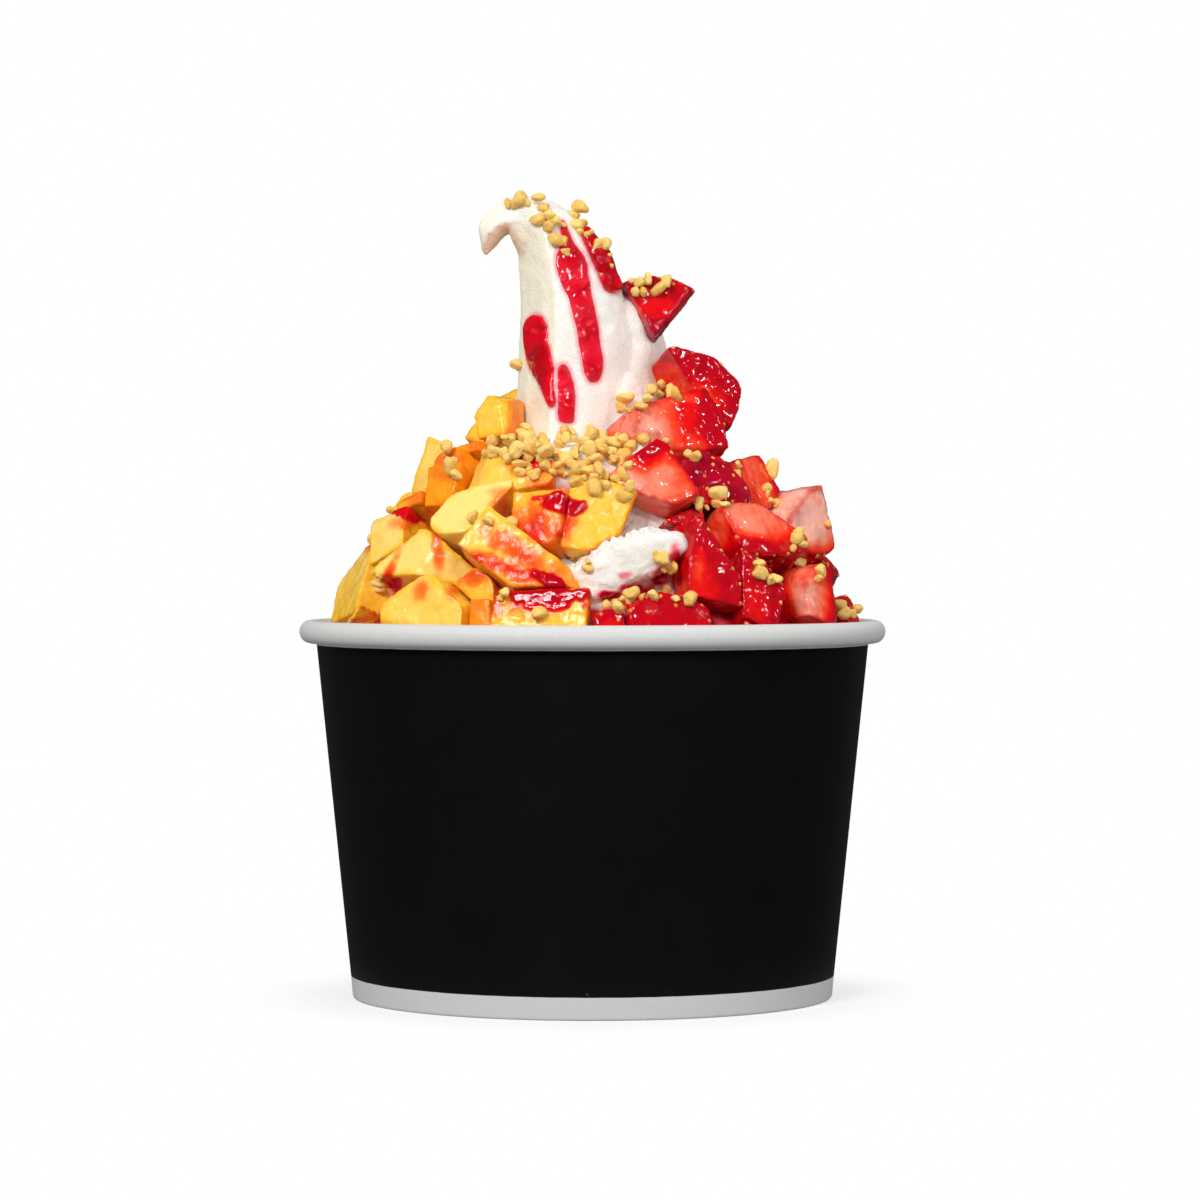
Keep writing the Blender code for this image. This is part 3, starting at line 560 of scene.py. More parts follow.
LUMP_CLOUDS = clouds("lump_clouds", 5)
TORN_CLOUDS = clouds("torn_clouds", 3.8, 1, "HARD_NOISE")
CRUMB_CLOUDS = clouds("crumb_clouds", 1.2, 3, "HARD_NOISE")
CUT_HEIGHT = 60
fill_top = CUP_HEIGHT - ROLL_HEIGHT - 1.5
outline = [(wall_radius(CUT_HEIGHT - 1) - PAPER - FILL_GAP, CUT_HEIGHT - 1),
           (wall_radius(fill_top) - PAPER - FILL_GAP, fill_top), *MOUND, (2, MOUND[-1][1] + 2)]
cream = ringed("soft_serve_body", outline, closed=False)
parts = [pulled("peak", peak_section, 140, 128), pulled("lower_turn", turn_section(LOWER_TURN)),
         pulled("back_turn", turn_section(BACK_TURN))]
for middle, half_sizes, roll, squareness in LUMPS:
    lump = added(bpy.ops.mesh.primitive_ico_sphere_add, subdivisions=4, radius=1)
    points = points_of(lump)
    points *= ((np.abs(points) ** squareness).sum(axis=1) ** (-1 / squareness))[:, None]
    if squareness > 2:
        thinner = 0.45 * smoothstep(points[:, 0], 0.3, 1)
        points[:, 2] -= thinner * (points[:, 2] + 0.7)
    put_points(lump, points)
    lump.data.transform(Matrix.Translation(Vector(middle) * MM) @ Matrix.Scale(MM, 4) @
                        Matrix.Rotation(math.radians(roll), 4, "Y") @ Matrix.Diagonal((*half_sizes, 1)))
    parts.append(lump)
join(cream, *parts)
finished(cream, "REMESH", mode="VOXEL", voxel_size=VOXEL * MM)
finished(cream, "SMOOTH", factor=0.5, iterations=3)

# Below the mouth of the cup only the outside shape is left, drawn down to the base
bpy.ops.object.mode_set(mode="EDIT")
bpy.ops.mesh.select_all(action="SELECT")
bpy.ops.mesh.bisect(plane_co=(0, 0, CUT_HEIGHT * MM), plane_no=(0, 0, 1), clear_inner=True)
select_open_edges()
low = BASE_TOP + GAP
share = (wall_radius(low) - PAPER - FILL_GAP) / (wall_radius(CUT_HEIGHT) - PAPER - FILL_GAP)
drawn_on(CUT_HEIGHT, low, share)
bpy.ops.mesh.edge_face_add()
leave_closed()


def paint(thing, name, values):
    """Keep a value, or a vector, for each point of a mesh."""
    kind = "FLOAT" if values.ndim == 1 else "FLOAT_VECTOR"
    layer = thing.data.attributes.new(name, kind, "POINT")
    layer.data.foreach_set("value" if values.ndim == 1 else "vector", values.astype(np.float32).ravel())


def wander(points, size, seed):
    """A smooth random value near 0 for each point, with lumps of that size."""
    shift = Vector((seed * 7.3, seed * 3.1, seed * 5.7))
    return np.array([noise.noise(Vector(point) / size + shift) for point in points])


def torn_share(points):
    """1 along the torn top edge of the lump in front, less on its face and 0 elsewhere."""
    away = points - np.array(LUMPS[0][0]) * MM
    reach = np.linalg.norm(away / (np.array((15, 12, 12)) * MM), axis=1)
    edge = away[:, 2] - 0.51 * away[:, 0]
    return (1 - smoothstep(reach, 0.8, 1.15)) * (0.25 + 0.75 * smoothstep(edge / MM, 2.4, 5))


# The torn lump is crumbly, the rest nearly smooth
torn = torn_share(points_of(cream))
group = cream.vertex_groups.new(name="torn")
for index in np.flatnonzero(torn > 0.02):
    group.add([int(index)], float(torn[index]), "REPLACE")
pushed(cream, LUMP_CLOUDS, 0.8)
pushed(cream, TORN_CLOUDS, 1.8, vertex_group="torn")
pushed(cream, CRUMB_CLOUDS, 1.5, vertex_group="torn")
pushed(cream, CRUMB_CLOUDS, 0.14)
triangles = sum(len(face.vertices) - 2 for face in cream.data.polygons)
finished(cream, "DECIMATE", ratio=CREAM_TRIANGLES / triangles)
smooth_by_angle(cream, 180)

# -------------------- thick sauce on the peak
# Berry sauce that ran down the flutes and set in raised, glossy runs with round ends.
# Each follows the surface under it and is a closed body sunk a little into the cream.

# Turn of the viewer, thickness, then x, z and width of each of the run's points
SAUCE_RUNS = [
    (0, 0.5, [(-5.8, 148.6, 1.4), (-4.8, 144.4, 2.6), (-3.8, 140, 6.6), (-2.2, 133.6, 5),
              (-1, 127.8, 4.6), (0, 122.2, 4.4), (0.3, 117.2, 3.6)]),
    (0, 0.9, [(-11.8, 130.2, 5), (-11.2, 127, 8.4), (-10.4, 123, 8.6), (-9.2, 119.4, 6),
              (-8.4, 116, 3.4), (-7.7, 112.6, 1.8)]),
    (0, 0.5, [(-5.8, 121, 1.8), (-5, 116.4, 3.2), (-4.9, 111.6, 3.2), (-5, 109.6, 2.6)]),
    (62, 2, [(-4.8, 146.6, 2.2), (-4.2, 143, 4.4), (-3.4, 139.4, 5), (-2.6, 134.6, 4.4)]),
]
SAUCE_ROOT = 0.7


def tree_of(thing):
    return BVHTree.FromObject(thing, bpy.context.evaluated_depsgraph_get())


def sighted(trees, x, z, turn=0):
    """What a viewer at that turn round the cup meets at x, z: name, place and normal, in metres."""
    around = Matrix.Rotation(math.radians(turn), 3, "Z")
    eye = around @ Vector((0, EYE.y, EYE.z))
    ray = (around @ (Vector((x, 0, z)) * MM) - eye).normalized()
    best = None
    for name, tree in trees.items():
        place, normal, _, distance = tree.ray_cast(eye, ray)
        if place is not None and (best is None or distance < best[3]):
            best = (name, place, normal, distance)
    return best


cream_tree = tree_of(cream)


def run_section(turn, thick, rows, seed):
    """Sections of a run of sauce: a low dome over the cream and a shallow root in it."""
    around = Matrix.Rotation(math.radians(turn), 3, "Z")

    def section(share, turns):
        made = np.empty((len(share), 3))
        spots = eased(rows, share)
        ahead = eased(rows, np.minimum(share + 0.02, 1))
        behind = eased(rows, np.maximum(share - 0.02, 0))
        fullness = end_share(share, 0.14)
        for at, (x, z, width) in enumerate(spots):
            along = Vector(ahead[at][:2]) - Vector(behind[at][:2])
            along.normalize()
            hit = sighted({"cream": cream_tree}, x, z, turn)
            middle, normal = hit[1], hit[2]
            side = around @ Vector((along.y, 0, -along.x))
            side = (side - normal * side.dot(normal)).normalized()
            flank = math.copysign(3, math.cos(turns[at]))
            ragged = 1 + 0.2 * noise.noise(Vector((z * 0.2, flank, seed)))
            ragged += 0.07 * noise.noise(Vector((z * 0.9, flank, seed + 5)))
            across = math.cos(turns[at]) * width / 2 * fullness[at] * ragged
            near, near_normal, _, _ = cream_tree.find_nearest(middle + side * across * MM)
            lift = math.sin(turns[at])
            dome = lift * SAUCE_ROOT
            if lift > 0:
                dome = lift ** 0.8 * thick * (0.85 + 0.15 * math.sin(z * 0.9))
            made[at] = (near + near_normal * dome * fullness[at] * MM) / MM
        return made
    return section


runs = [pulled(f"run_{at}", run_section(turn, thick, rows, at), 56, 28)
        for at, (turn, thick, rows) in enumerate(SAUCE_RUNS)]
sauce_runs = join(*runs)
sauce_runs.name = "sauce_runs"
finished(sauce_runs, "SMOOTH", factor=0.5, iterations=3)
smooth_by_angle(sauce_runs, 180)

# Where it is thin it looks pinker
points = points_of(sauce_runs)
above = np.array([cream_tree.find_nearest(point)[3] for point in points]) / MM
paint(sauce_runs, "thin", 1 - smoothstep(above, 0.15, 0.5))

sauce = Finish("berry_sauce", IOR=1.42, Specular_IOR_Level=0.5, Coat_Weight=0.3, Coat_Roughness=0.03,
               Subsurface_Weight=0.15, Subsurface_Radius=(1, 0.1, 0.1), Subsurface_Scale=0.001)
pulp = sauce.noise(420, 1)
deep = sauce.noise(110, 2)
ripples = sauce.ripples(520, 180)
tone = sauce.layered((220, 0, 28),
                     (deep.step(0.4, 0.7), (178, 0, 16)),
                     (sauce.attribute("thin") * 0.8, (232, 44, 70)),
                     (pulp.step(0.6, 0.74), (238, 40, 54)))
sauce.drive(Base_Color=tone,
            Roughness=0.06 + pulp * 0.06,
            Normal=sauce.bump(pulp * 0.2 + ripples * 2.2, 0.0005))
sauce.on(sauce_runs)
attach(sauce_runs, "root")
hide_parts("soft_serve")

# Back to the cream: it is stained pink beside the sauce and where fruit bled into it, and painted crimson
# between the pieces of fruit, partly juice stain and partly painted shade
points = points_of(cream)
sauce_points = points_of(sauce_runs)
tree = kdtree.KDTree(len(sauce_points))
for index, point in enumerate(sauce_points):
    tree.insert(point, index)
tree.balance()
near_sauce = np.array([tree.find(point)[2] if point[2] > 0.1 else 1 for point in points]) / MM
stain = 0.55 * (1 - smoothstep(near_sauce, 0, 1.3))
# x, z, half width, half height and strength of each bleeding spot, seen from in front
CREAM_STAINS = [(6.2, 80.6, 1.8, 1.2, 0.62), (3.4, 76.6, 3.4, 1.3, 1), (9, 77.6, 4.2, 1.7, 1),
                (13.4, 80.4, 2.4, 2.4, 1), (15.8, 83.8, 1.6, 3.2, 0.95), (-9, 86.5, 6, 3.4, 1),
                (-14.8, 91.5, 2.2, 2.4, 1)]


def seen(points):
    """Where points stand in the front view: x and z on the upright plane through the cup's axis."""
    eye = np.array(EYE)
    scale = -eye[1] / (points[:, 1] - eye[1])
    flat = eye + (points - eye) * scale[:, None]
    return flat[:, [0, 2]] / MM


flat = seen(points)
front = points[:, 1] < -0.012
for x, z, half_x, half_z, strength in CREAM_STAINS:
    away = np.hypot((flat[:, 0] - x) / half_x, (flat[:, 1] - z) / half_z)
    away += wander(points, 1.8 * MM, 4) * 0.4
    stain = np.maximum(stain, strength * (1 - smoothstep(away, 0.4, 1.2)) * front)
# Cream that shows between the pieces of fruit is painted crimson: partly juice stain, partly painted shade
# in the gaps
gap_stain_and_shade = (1 - smoothstep(points[:, 2] / MM, 94, 99)) * (1 - smoothstep(torn_share(points), 0.02, 0.2))
stain = np.maximum(stain, gap_stain_and_shade * np.clip(0.9 + 0.6 * wander(points, 5 * MM, 8), 0, 1))
paint(cream, "stain", stain)

# Painted shade: the flutes' left-facing sides get a warmer cream, and the hook's underside a peach tone
normals = normals_of(cream)
high = smoothstep(points[:, 2] / MM, 98, 108)
dry = smoothstep(-normals[:, 0] + 0.2 * normals[:, 1], 0, 0.45) * smoothstep(-normals[:, 1], -0.3, 0.2)
hook_underside_shade = smoothstep(-normals[:, 2], 0.1, 0.7) * smoothstep(points[:, 2] / MM, 138, 142)
paint(cream, "dry", high * dry)
paint(cream, "hook_underside_shade", hook_underside_shade)

frozen = Finish("soft_serve", IOR=1.38, Specular_IOR_Level=0.35, Coat_Roughness=0.2,
                Subsurface_Weight=0.25, Subsurface_Radius=(1, 0.75, 0.5), Subsurface_Scale=0.002)
fine = frozen.noise(2400, 3, 0.6)
coarse = frozen.noise(260, 3)
drift = frozen.noise(60, 2)
# The stain attribute holds the real stains and the painted shade in the gaps between the fruit
bled_and_gap_shade = frozen.attribute("stain")
# Over the milk go its grain and stains, and the painted shade of the left flutes and of the hook's
# underside
milk = frozen.layered((239, 236, 229),
                      (drift.step(0.3, 0.7), (246, 245, 242)),
                      (frozen.attribute("dry").step(0, 1), (248, 240, 220)),
                      (frozen.attribute("hook_underside_shade") * 0.8, (240, 186, 142)),
                      (fine.step(0.52, 0.68) * 0.4, (222, 211, 188)),
                      (bled_and_gap_shade.step(0.05, 0.8), (244, 110, 128)),
                      (bled_and_gap_shade.step(0.5, 1), (186, 0, 30)))
frozen.drive(Base_Color=milk,
             Roughness=0.5 - bled_and_gap_shade * 0.25,
             Coat_Weight=0.08 + bled_and_gap_shade * 0.5,
             Normal=frozen.bump(fine + coarse * 0.5, 0.0003, 0.7))
frozen.on(cream)
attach(cream, "root")
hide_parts("soft_serve")

# -------------------- cutting the fruit
# Mango and strawberry are cut by hand into uneven blocks. Each piece here starts as a
# block on its place, is cut by the same flat faces as its solid, and is then made moist
# and soft: its edges round off, its faces swell and dip, and its flesh gets its grain.

UNCUT_BLOCK = 60
LEAST_FACE = 1.7
LEAST_WIDTH = 0.9
# A corner that the knife took off: the cut's direction and distance
TRIMMED = {"strawberry_09": (Vector((-0.73, 0, 0.684)), 74)}
EDGE_LEFT = 0.8
FRUIT_VOXEL = 0.36
FLESH_CLOUDS = clouds("flesh_clouds", 6)
NICK_CLOUDS = clouds("nick_clouds", 1.6, 3)
NICKS = 0.3


def flat_faces(node):
    """A solid's large flat faces: outward direction and distance in mm, and if each is wide."""
    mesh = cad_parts[node].data
    corners = np.array([[mesh.vertices[at].co for at in face.vertices] for face in mesh.polygons]) / MM
    across = np.cross(corners[:, 1] - corners[:, 0], corners[:, 2] - corners[:, 0])
    areas = np.linalg.norm(across, axis=1) / 2
    ways = across / np.maximum(2 * areas, 1e-9)[:, None]
    middles = corners.mean(axis=1)
    found = []
    for at in np.argsort(-areas):
        for face in found:
            if face[0] @ ways[at] > 0.9996 and abs(face[0] @ middles[at] - face[1]) < 0.04:
                face[2] += areas[at]
                face[3].append(middles[at])
                face[4].extend(corners[at])
                break
        else:
            found.append([ways[at], ways[at] @ middles[at], areas[at], [middles[at]], list(corners[at])])
    kept = []
    inside = []
    for way, distance, area, spots, ends in sorted(found, key=lambda face: -face[2]):
        if area < LEAST_FACE:
            break
        if inside and (np.array(inside) @ way - distance).max() > 0.2:
            continue
        length = np.linalg.norm(np.ptp(np.array(ends), axis=0))
        kept.append((way, distance, area / length > LEAST_WIDTH))
        inside += spots
    return kept


def cut_piece(node, rounding, swell, grown=0):
    """A block cut by a solid's wide flat faces, and by its narrow ones where it is still too large."""
    low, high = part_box(node)
    piece = added(bpy.ops.mesh.primitive_cube_add, size=UNCUT_BLOCK * MM, location=(low + high) / 2)
    piece.name = node + "_piece"
    bpy.ops.object.transform_apply(location=True)
    bpy.ops.object.mode_set(mode="EDIT")
    for way, distance, wide in sorted(flat_faces(node), key=lambda face: not face[2]):
        if not wide:
            piece.update_from_editmode()
            points = points_of(piece)
            if (points @ way).max() / MM - distance < EDGE_LEFT:
                continue
        bpy.ops.mesh.select_all(action="SELECT")
        bpy.ops.mesh.bisect(plane_co=way * (distance + grown) * MM, plane_no=way, use_fill=True,
                            clear_outer=True, threshold=1e-7)
    if node in TRIMMED:
        way, distance = TRIMMED[node]
        bpy.ops.mesh.select_all(action="SELECT")
        bpy.ops.mesh.bisect(plane_co=way * distance * MM, plane_no=way, use_fill=True, clear_outer=True)
    leave_closed()
    finished(piece, "REMESH", mode="VOXEL", voxel_size=FRUIT_VOXEL * MM)
    finished(piece, "SMOOTH", factor=0.5, iterations=rounding)
    pushed(piece, FLESH_CLOUDS, swell, 0.55)
    pushed(piece, NICK_CLOUDS, NICKS)
    return piece


def creased(piece):
    """How sharply the surface bends outwards: 0 on a flat face and 1 along an edge."""
    points, normals = points_of(piece), normals_of(piece)
    pairs = np.empty(len(piece.data.edges) * 2, np.int32)
    piece.data.edges.foreach_get("vertices", pairs)
    first, second = pairs.reshape(-1, 2).T
    count = np.bincount(pairs, minlength=len(points))

    def around(values):
        ahead = np.bincount(first, values[second], len(points))
        return (ahead + np.bincount(second, values[first], len(points))) / count

    level = np.stack([around(points[:, axis]) for axis in range(3)], axis=1)
    bend = ((points - level) * normals).sum(axis=1) / (FRUIT_VOXEL * MM)
    for _ in range(5):
        bend = around(bend)
    return smoothstep(bend, 0.012, 0.06)


def face_axes(turned_right, raised, roll):
    """Right, up and outward directions of a face that looks that way."""
    turn, lift = math.radians(turned_right), math.radians(raised)
    out = Vector((math.sin(turn) * math.cos(lift), -math.cos(turn) * math.cos(lift), math.sin(lift)))
    right = Matrix.Rotation(math.radians(roll), 3, out) @ Vector((math.cos(turn), math.sin(turn), 0))
    return right, out.cross(right), out


def spotted(piece, rows, ragged=0.4, soft=0.85):
    """The share of sauce or stain at each point: soft-edged ovals in the front view."""
    points, normals = points_of(piece), normals_of(piece)
    if not rows:
        return np.zeros(len(points))
    flat = seen(points)
    toward = -normals[:, 1]
    wandering = wander(points, 3.2 * MM, 2) * ragged + wander(points, 1.1 * MM, 6) * ragged * 0.5
    share = np.zeros(len(points))
    for x, z, half_x, half_z, tilt, strength in rows:
        angle = math.radians(tilt)
        dx, dz = flat[:, 0] - x, flat[:, 1] - z
        along = (dx * math.cos(angle) + dz * math.sin(angle)) / half_x
        up = (dz * math.cos(angle) - dx * math.sin(angle)) / half_z
        away = np.hypot(along, up) + wandering
        share = np.maximum(share, strength * (1 - smoothstep(away, 1 - soft, 1 + 0.6 * soft)))
    return share * smoothstep(toward, -0.5, -0.1)


def dressed(piece, finish, sauce, thickness, **shares):
    """Raise the surface where sauce lies on it; give the piece its shares of colour and its finish."""
    paint(piece, "edge", creased(piece))
    points, normals = points_of(piece), normals_of(piece)
    put_points(piece, points + normals * (smoothstep(sauce, 0.35, 0.9) * thickness * MM)[:, None])
    paint(piece, "sauce", sauce)
    for name, values in shares.items():
        paint(piece, name, values)
    finish.on(piece)
    smooth_by_angle(piece, 180)


# -------------------- mango
# Ripe mango in blocks and wedges: smooth wet flesh, pale yellow to deep orange-yellow and painted deeper
# on its right-facing and lower faces as painted shade, with orange-red stains where sauce ran over it.

# From mango_01 on, how deep the flesh's own colour is, 0 pale and 1 orange; then ovals of
# stain and of sauce in the front view: x, z, half width, half height, tilt, strength
MANGO_LOOKS = [
    (0.25, [(-32.6, 77.6, 2, 2.4, 0, 0.6), (-26.4, 78, 1.8, 2.4, -50, 0.5)], []),
    (0.5, [(-11, 75.6, 8.6, 3, 0, 0.75), (-18, 75, 1.4, 4, 0, 0.8)], [(-10.4, 77.2, 9.2, 3.5, -8, 1)]),
    (0.3, [(-13.6, 84.8, 8.8, 3, -34, 0.9), (-16.2, 82, 10, 1.8, -21, 1)],
     [(-8.6, 79.6, 4.6, 1.5, -26, 0.9)]),
    (0.15, [(-29.6, 85.4, 1.2, 4.4, 6, 0.7), (-39.2, 80.6, 1, 4.6, -24, 0.9)],
     [(-39.2, 77.6, 3, 1.6, 34, 1)]),
    (0.3, [(-45, 86.4, 3, 1.8, 0, 0.7)], []),
    (0.6, [(-11, 89, 5.4, 5.4, 0, 1)], [(-5.8, 94.2, 4.8, 2, -12, 1)]),
    (0.3, [(-5.6, 91, 3, 5, 0, 0.8)], [(-5.8, 94.2, 4.8, 2, -12, 1)]),
    (0, [(-17.8, 94.4, 2.4, 2.2, 0, 0.5), (-17.4, 96.4, 3.2, 1.2, 0, 0.4)], []),
    (0.45, [(-23, 80.2, 3, 2, 0, 0.7)], []),
    (0.35, [(-11.6, 101, 5.4, 1.8, -8, 0.8), (-9.4, 98, 5, 2.8, 0, 0.4)],
     [(-12.4, 103, 5, 1.5, -10, 1)]),
    (0.15, [(-36, 90.6, 3.4, 1.6, 0, 0.5)], [(-34.8, 92.2, 4, 1.5, -14, 0.9)]),
    (0.9, [(-21.8, 74.4, 3, 3, 0, 0.4)], []),
    (0.85, [(-27.4, 99.8, 4, 1.4, 0, 0.5)], []),
    (0.5, [(-35, 95.6, 4, 1.6, 0, 0.5)], [(-29.6, 94, 1.8, 1.4, 0, 0.8)]),
    (0.8, [(-27.6, 102.4, 4, 1.6, 0, 0.6)], []),
    (0.3, [(-15, 108.6, 1.4, 4, 0, 0.4)], []),
    (0.6, [(-22.6, 105.4, 2.4, 1.6, 0, 0.4)], [(-20, 107, 1.2, 1, 0, 0.8)]),
]
SAUCE_THICK = 0.3
# These two lie against each other with one pool of sauce over both
TOUCHING = ("mango_06", "mango_07")
TOUCHING_GROWTH = 0.25
MANGO_ROUNDING = 5
MANGO_SWELL = 0.8

flesh = Finish("mango_flesh", IOR=1.4, Specular_IOR_Level=0.45, Coat_Roughness=0.05,
               Subsurface_Weight=0.2, Subsurface_Radius=(1, 0.45, 0.1), Subsurface_Scale=0.0025)
# depth holds the flesh's own depth of colour and the painted shade of each piece's right-facing and lower
# faces
depth = flesh.attribute("depth")
stained = flesh.attribute("stain")
sauced = flesh.attribute("sauce")
edge = flesh.attribute("edge")
along_grain = flesh.stretched(flesh.attribute("grain", "Vector"), (1, 1, 0.16))
fibres = flesh.noise(1.4, 4, 0.6, along_grain)
soft = flesh.noise(120, 3)
pores = flesh.noise(900, 3)
flecks = flesh.noise(420, 2)
ripples = flesh.ripples(430, 150)
depth = depth + (soft - 0.5) * 0.5 + (fibres - 0.5) * 0.25 + edge * 0.3
redness = stained + (soft - 0.5) * 0.6 * stained + (fibres - 0.5) * 0.3 * stained + edge * stained * 0.3
syrup = flesh.mix(soft.step(0.35, 0.65), (222, 0, 22), (180, 0, 18))
cover = (sauced + (pores - 0.5) * 0.3).step(0.35, 0.85)
pulp = flesh.layered((249, 216, 124),
                     (depth.step(0, 0.5), (248, 192, 54)),
                     (depth.step(0.45, 1.05), (242, 142, 8)),
                     (redness.step(0, 0.64), (242, 116, 30)),
                     (redness.step(0.55, 1.08), (222, 36, 14)),
                     (flecks.step(0.7, 0.76) * stained * 0.7, (150, 30, 10)),
                     (sauced.step(0.1, 0.45), (236, 50, 26)),
                     (cover, syrup))
flesh.drive(Base_Color=pulp,
            Roughness=0.2 + (pores - 0.5) * 0.1 - cover * 0.11,
            Coat_Weight=0.02 + cover * 0.2,
            Normal=flesh.bump(fibres * 0.3 + pores * 0.1 + soft * 0.15 + ripples * 0.8, 0.0004, 0.8))

hand = random.Random(31)
fruit = {}
for node in sorted(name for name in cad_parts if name.startswith("mango")):
    piece = cut_piece(node, MANGO_ROUNDING, MANGO_SWELL, TOUCHING_GROWTH if node in TOUCHING else 0)
    points, normals = points_of(piece), normals_of(piece)
    middle = points.mean(axis=0)
    spin = np.array(Matrix.Rotation(hand.uniform(0, 3), 3, Vector((hand.random(), hand.random(), 1))))
    base_depth = hand.uniform(0.1, 0.7)
    # Two draws are passed over, which keeps the next piece's grain as it is
    hand.random(), hand.random()
    # Painted shade: faces that look right and the lower part of each piece are painted deeper orange
    right_face_shade = smoothstep(normals[:, 0] - 0.35 * normals[:, 2], 0.1, 0.75)
    lower_part_shade = smoothstep((middle[2] - points[:, 2]) / MM, -1, 7)
    number = int(node[-2:])
    if number <= len(MANGO_LOOKS):
        base_depth, stains, pools = MANGO_LOOKS[number - 1]
        stain, pool = spotted(piece, stains), spotted(piece, pools, 0.35, 0.3)
    else:
        patches = wander(points, 9 * MM, hand.randint(1, 40)) + 0.2 * wander(points, 2 * MM, 3)
        stain = smoothstep(patches, 0.1, 0.7) * (middle[1] > 0.012)
        pool = smoothstep(patches, 0.45, 0.75) * (middle[1] > 0.012)
    dressed(piece, flesh, pool, SAUCE_THICK, grain=((points - middle) / MM) @ spin.T, stain=stain,
            depth=base_depth + 0.55 * right_face_shade + 0.25 * lower_part_shade)
    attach(piece, "root")
    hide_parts(node)
    fruit[piece.name] = piece

# -------------------- strawberry
# Strawberries cut in thick pieces: a dark glossy skin with pale seeds in pits on one
# side, then red flesh that pales to a pink and white core with light radial streaks.

# From strawberry_01 on, its face as it looks (turned right, raised, roll), the skin's side
# of it, the berry's radius, how pale the flesh is and how much sauce covers it; then ovals
# of pale flesh and of red, as for the mango
STRAWBERRY_LOOKS = [
    ((20, 12, -8), (1, 1, 1), 15, 0.1, 0.15, [(20.6, 83.6, 1.6, 6, -8, 0.9), (24, 87, 0.8, 2.4, -30, 0.8)],
     []),
    ((14, 24, 0), (0, 1, 1), 12, 0.05, 0.1, [], []),
    ((34, 12, -20), (1, 1, 1), 13, 0.05, 0.2, [], []),
    ((52, 16, -14), (1, 0, 0), 14, 0.6, 0, [(40.7, 75.9, 3.6, 5, 0, 1)], [(36.4, 76, 2, 6, 20, 0.9)]),
    ((34, 26, -36), (1, -1, 0), 12, 0.5, 0, [(28.6, 91.4, 7.4, 5.4, -20, 0.9)],
     [(33.8, 84.6, 6, 1.8, -34, 0.8)]),
    ((12, 22, 30), (1, 1, 0), 14, 0.6, 0, [(6, 97.4, 5.4, 4.6, -20, 1.3), (12.4, 98.6, 3.4, 3.2, 0, 0.6)],
     [(10.6, 103.8, 2.6, 4, -20, 0.8)]),
    ((22, 18, 10), (1, 0, 0), 15, 0.65, 0, [(10.8, 108.4, 5.4, 3.8, 0, 1)],
     [(20.8, 110, 6, 5, 0, 0.9)]),
    ((34, 18, 28), (0, 0, 1), 14, 0, 0.8, [], []),
    ((30, 14, -16), (1, 1, 0), 10.4, 0.25, 0.1, [(18.6, 115, 5.6, 2.2, 12, 0.5)],
     [(24, 120, 6, 4, -30, 0.9)]),
    ((52, 10, 6), (0, -1, 0), 15, 0.85, 0, [(40, 91, 8, 6, 0, 1)], []),
    ((6, 16, -2), (0, 1, 1), 12, 0, 0.66, [(11.6, 128, 3.6, 1.6, -20, 0.9)], []),
    ((56, 24, 10), (1, 0, 0), 13, 0.6, 0.1, [], []),
    ((2, 26, 4), (0, 1, 1), 9, 0.4, 0.3, [], []),
    ((32, 30, 0), (0, 1, 1), 11, 0.35, 0.2, [], []),
    ((74, 22, 0), (0, 1, 0), 11, 0.1, 0.4, [], []),
    ((24, 12, 0), (0, 0, 1), 13, 0, 0.4, [], []),
]
FAR_BERRY_RADIUS = 13
BERRY_ROUNDING = 10
BERRY_SWELL = 0.9
BERRY_SAUCE_THICK = 0.21
SEED_SPACING = 2.5
PIT_RADIUS = 0.95
PIT_DEPTH = 0.32
SEED_SIZE = (0.42, 0.62, 0.3)

berry = Finish("strawberry_flesh", IOR=1.4, Specular_IOR_Level=0.7, Coat_Roughness=0.04,
               Subsurface_Weight=0.15, Subsurface_Radius=(1, 0.3, 0.2), Subsurface_Scale=0.002)
ray = berry.attribute("ray", "Vector")
skin = berry.attribute("skin")
pale = berry.attribute("pale")
sauced = berry.attribute("sauce")
edge = berry.attribute("edge")
streaks = berry.noise(9, 2, 0.5, ray)
soft = berry.noise(150, 3)
pores = berry.noise(850, 3)
ripples = berry.ripples(460, 170)
lines = berry.noise(26, 1, 0.4, ray)
pale = pale + (streaks - 0.5) * 0.4 + (lines - 0.5) * 0.06 + (soft - 0.5) * 0.4
rind = berry.mix(soft.step(0.3, 0.7), (222, 2, 14), (172, 0, 20))
syrup = berry.mix(soft.step(0.35, 0.65), (190, 4, 38), (142, 0, 28))
cover = sauced.step(0.4, 0.75)
meat = berry.layered((186, 0, 22),
                     (pale.step(-0.3, 0.15), (228, 12, 14)),
                     (pale.step(0.1, 0.55), (248, 70, 36)),
                     (pale.step(0.5, 0.9), (248, 128, 100)),
                     (pale.step(0.85, 1.3), (250, 182, 164)),
                     (edge * 0.7, (186, 0, 26)),
                     (skin.step(0.35, 0.65), rind),
                     (cover, syrup))
ripples = ripples * (1.1 + cover * 0.5 - skin * 0.4)
berry.drive(Base_Color=meat,
            Roughness=0.1 + (pores - 0.5) * 0.04 - cover * 0.03,
            Coat_Weight=0.05 + cover * 0.1,
            Normal=berry.bump(streaks * 0.05 + soft * 0.15 + ripples, 0.0004))

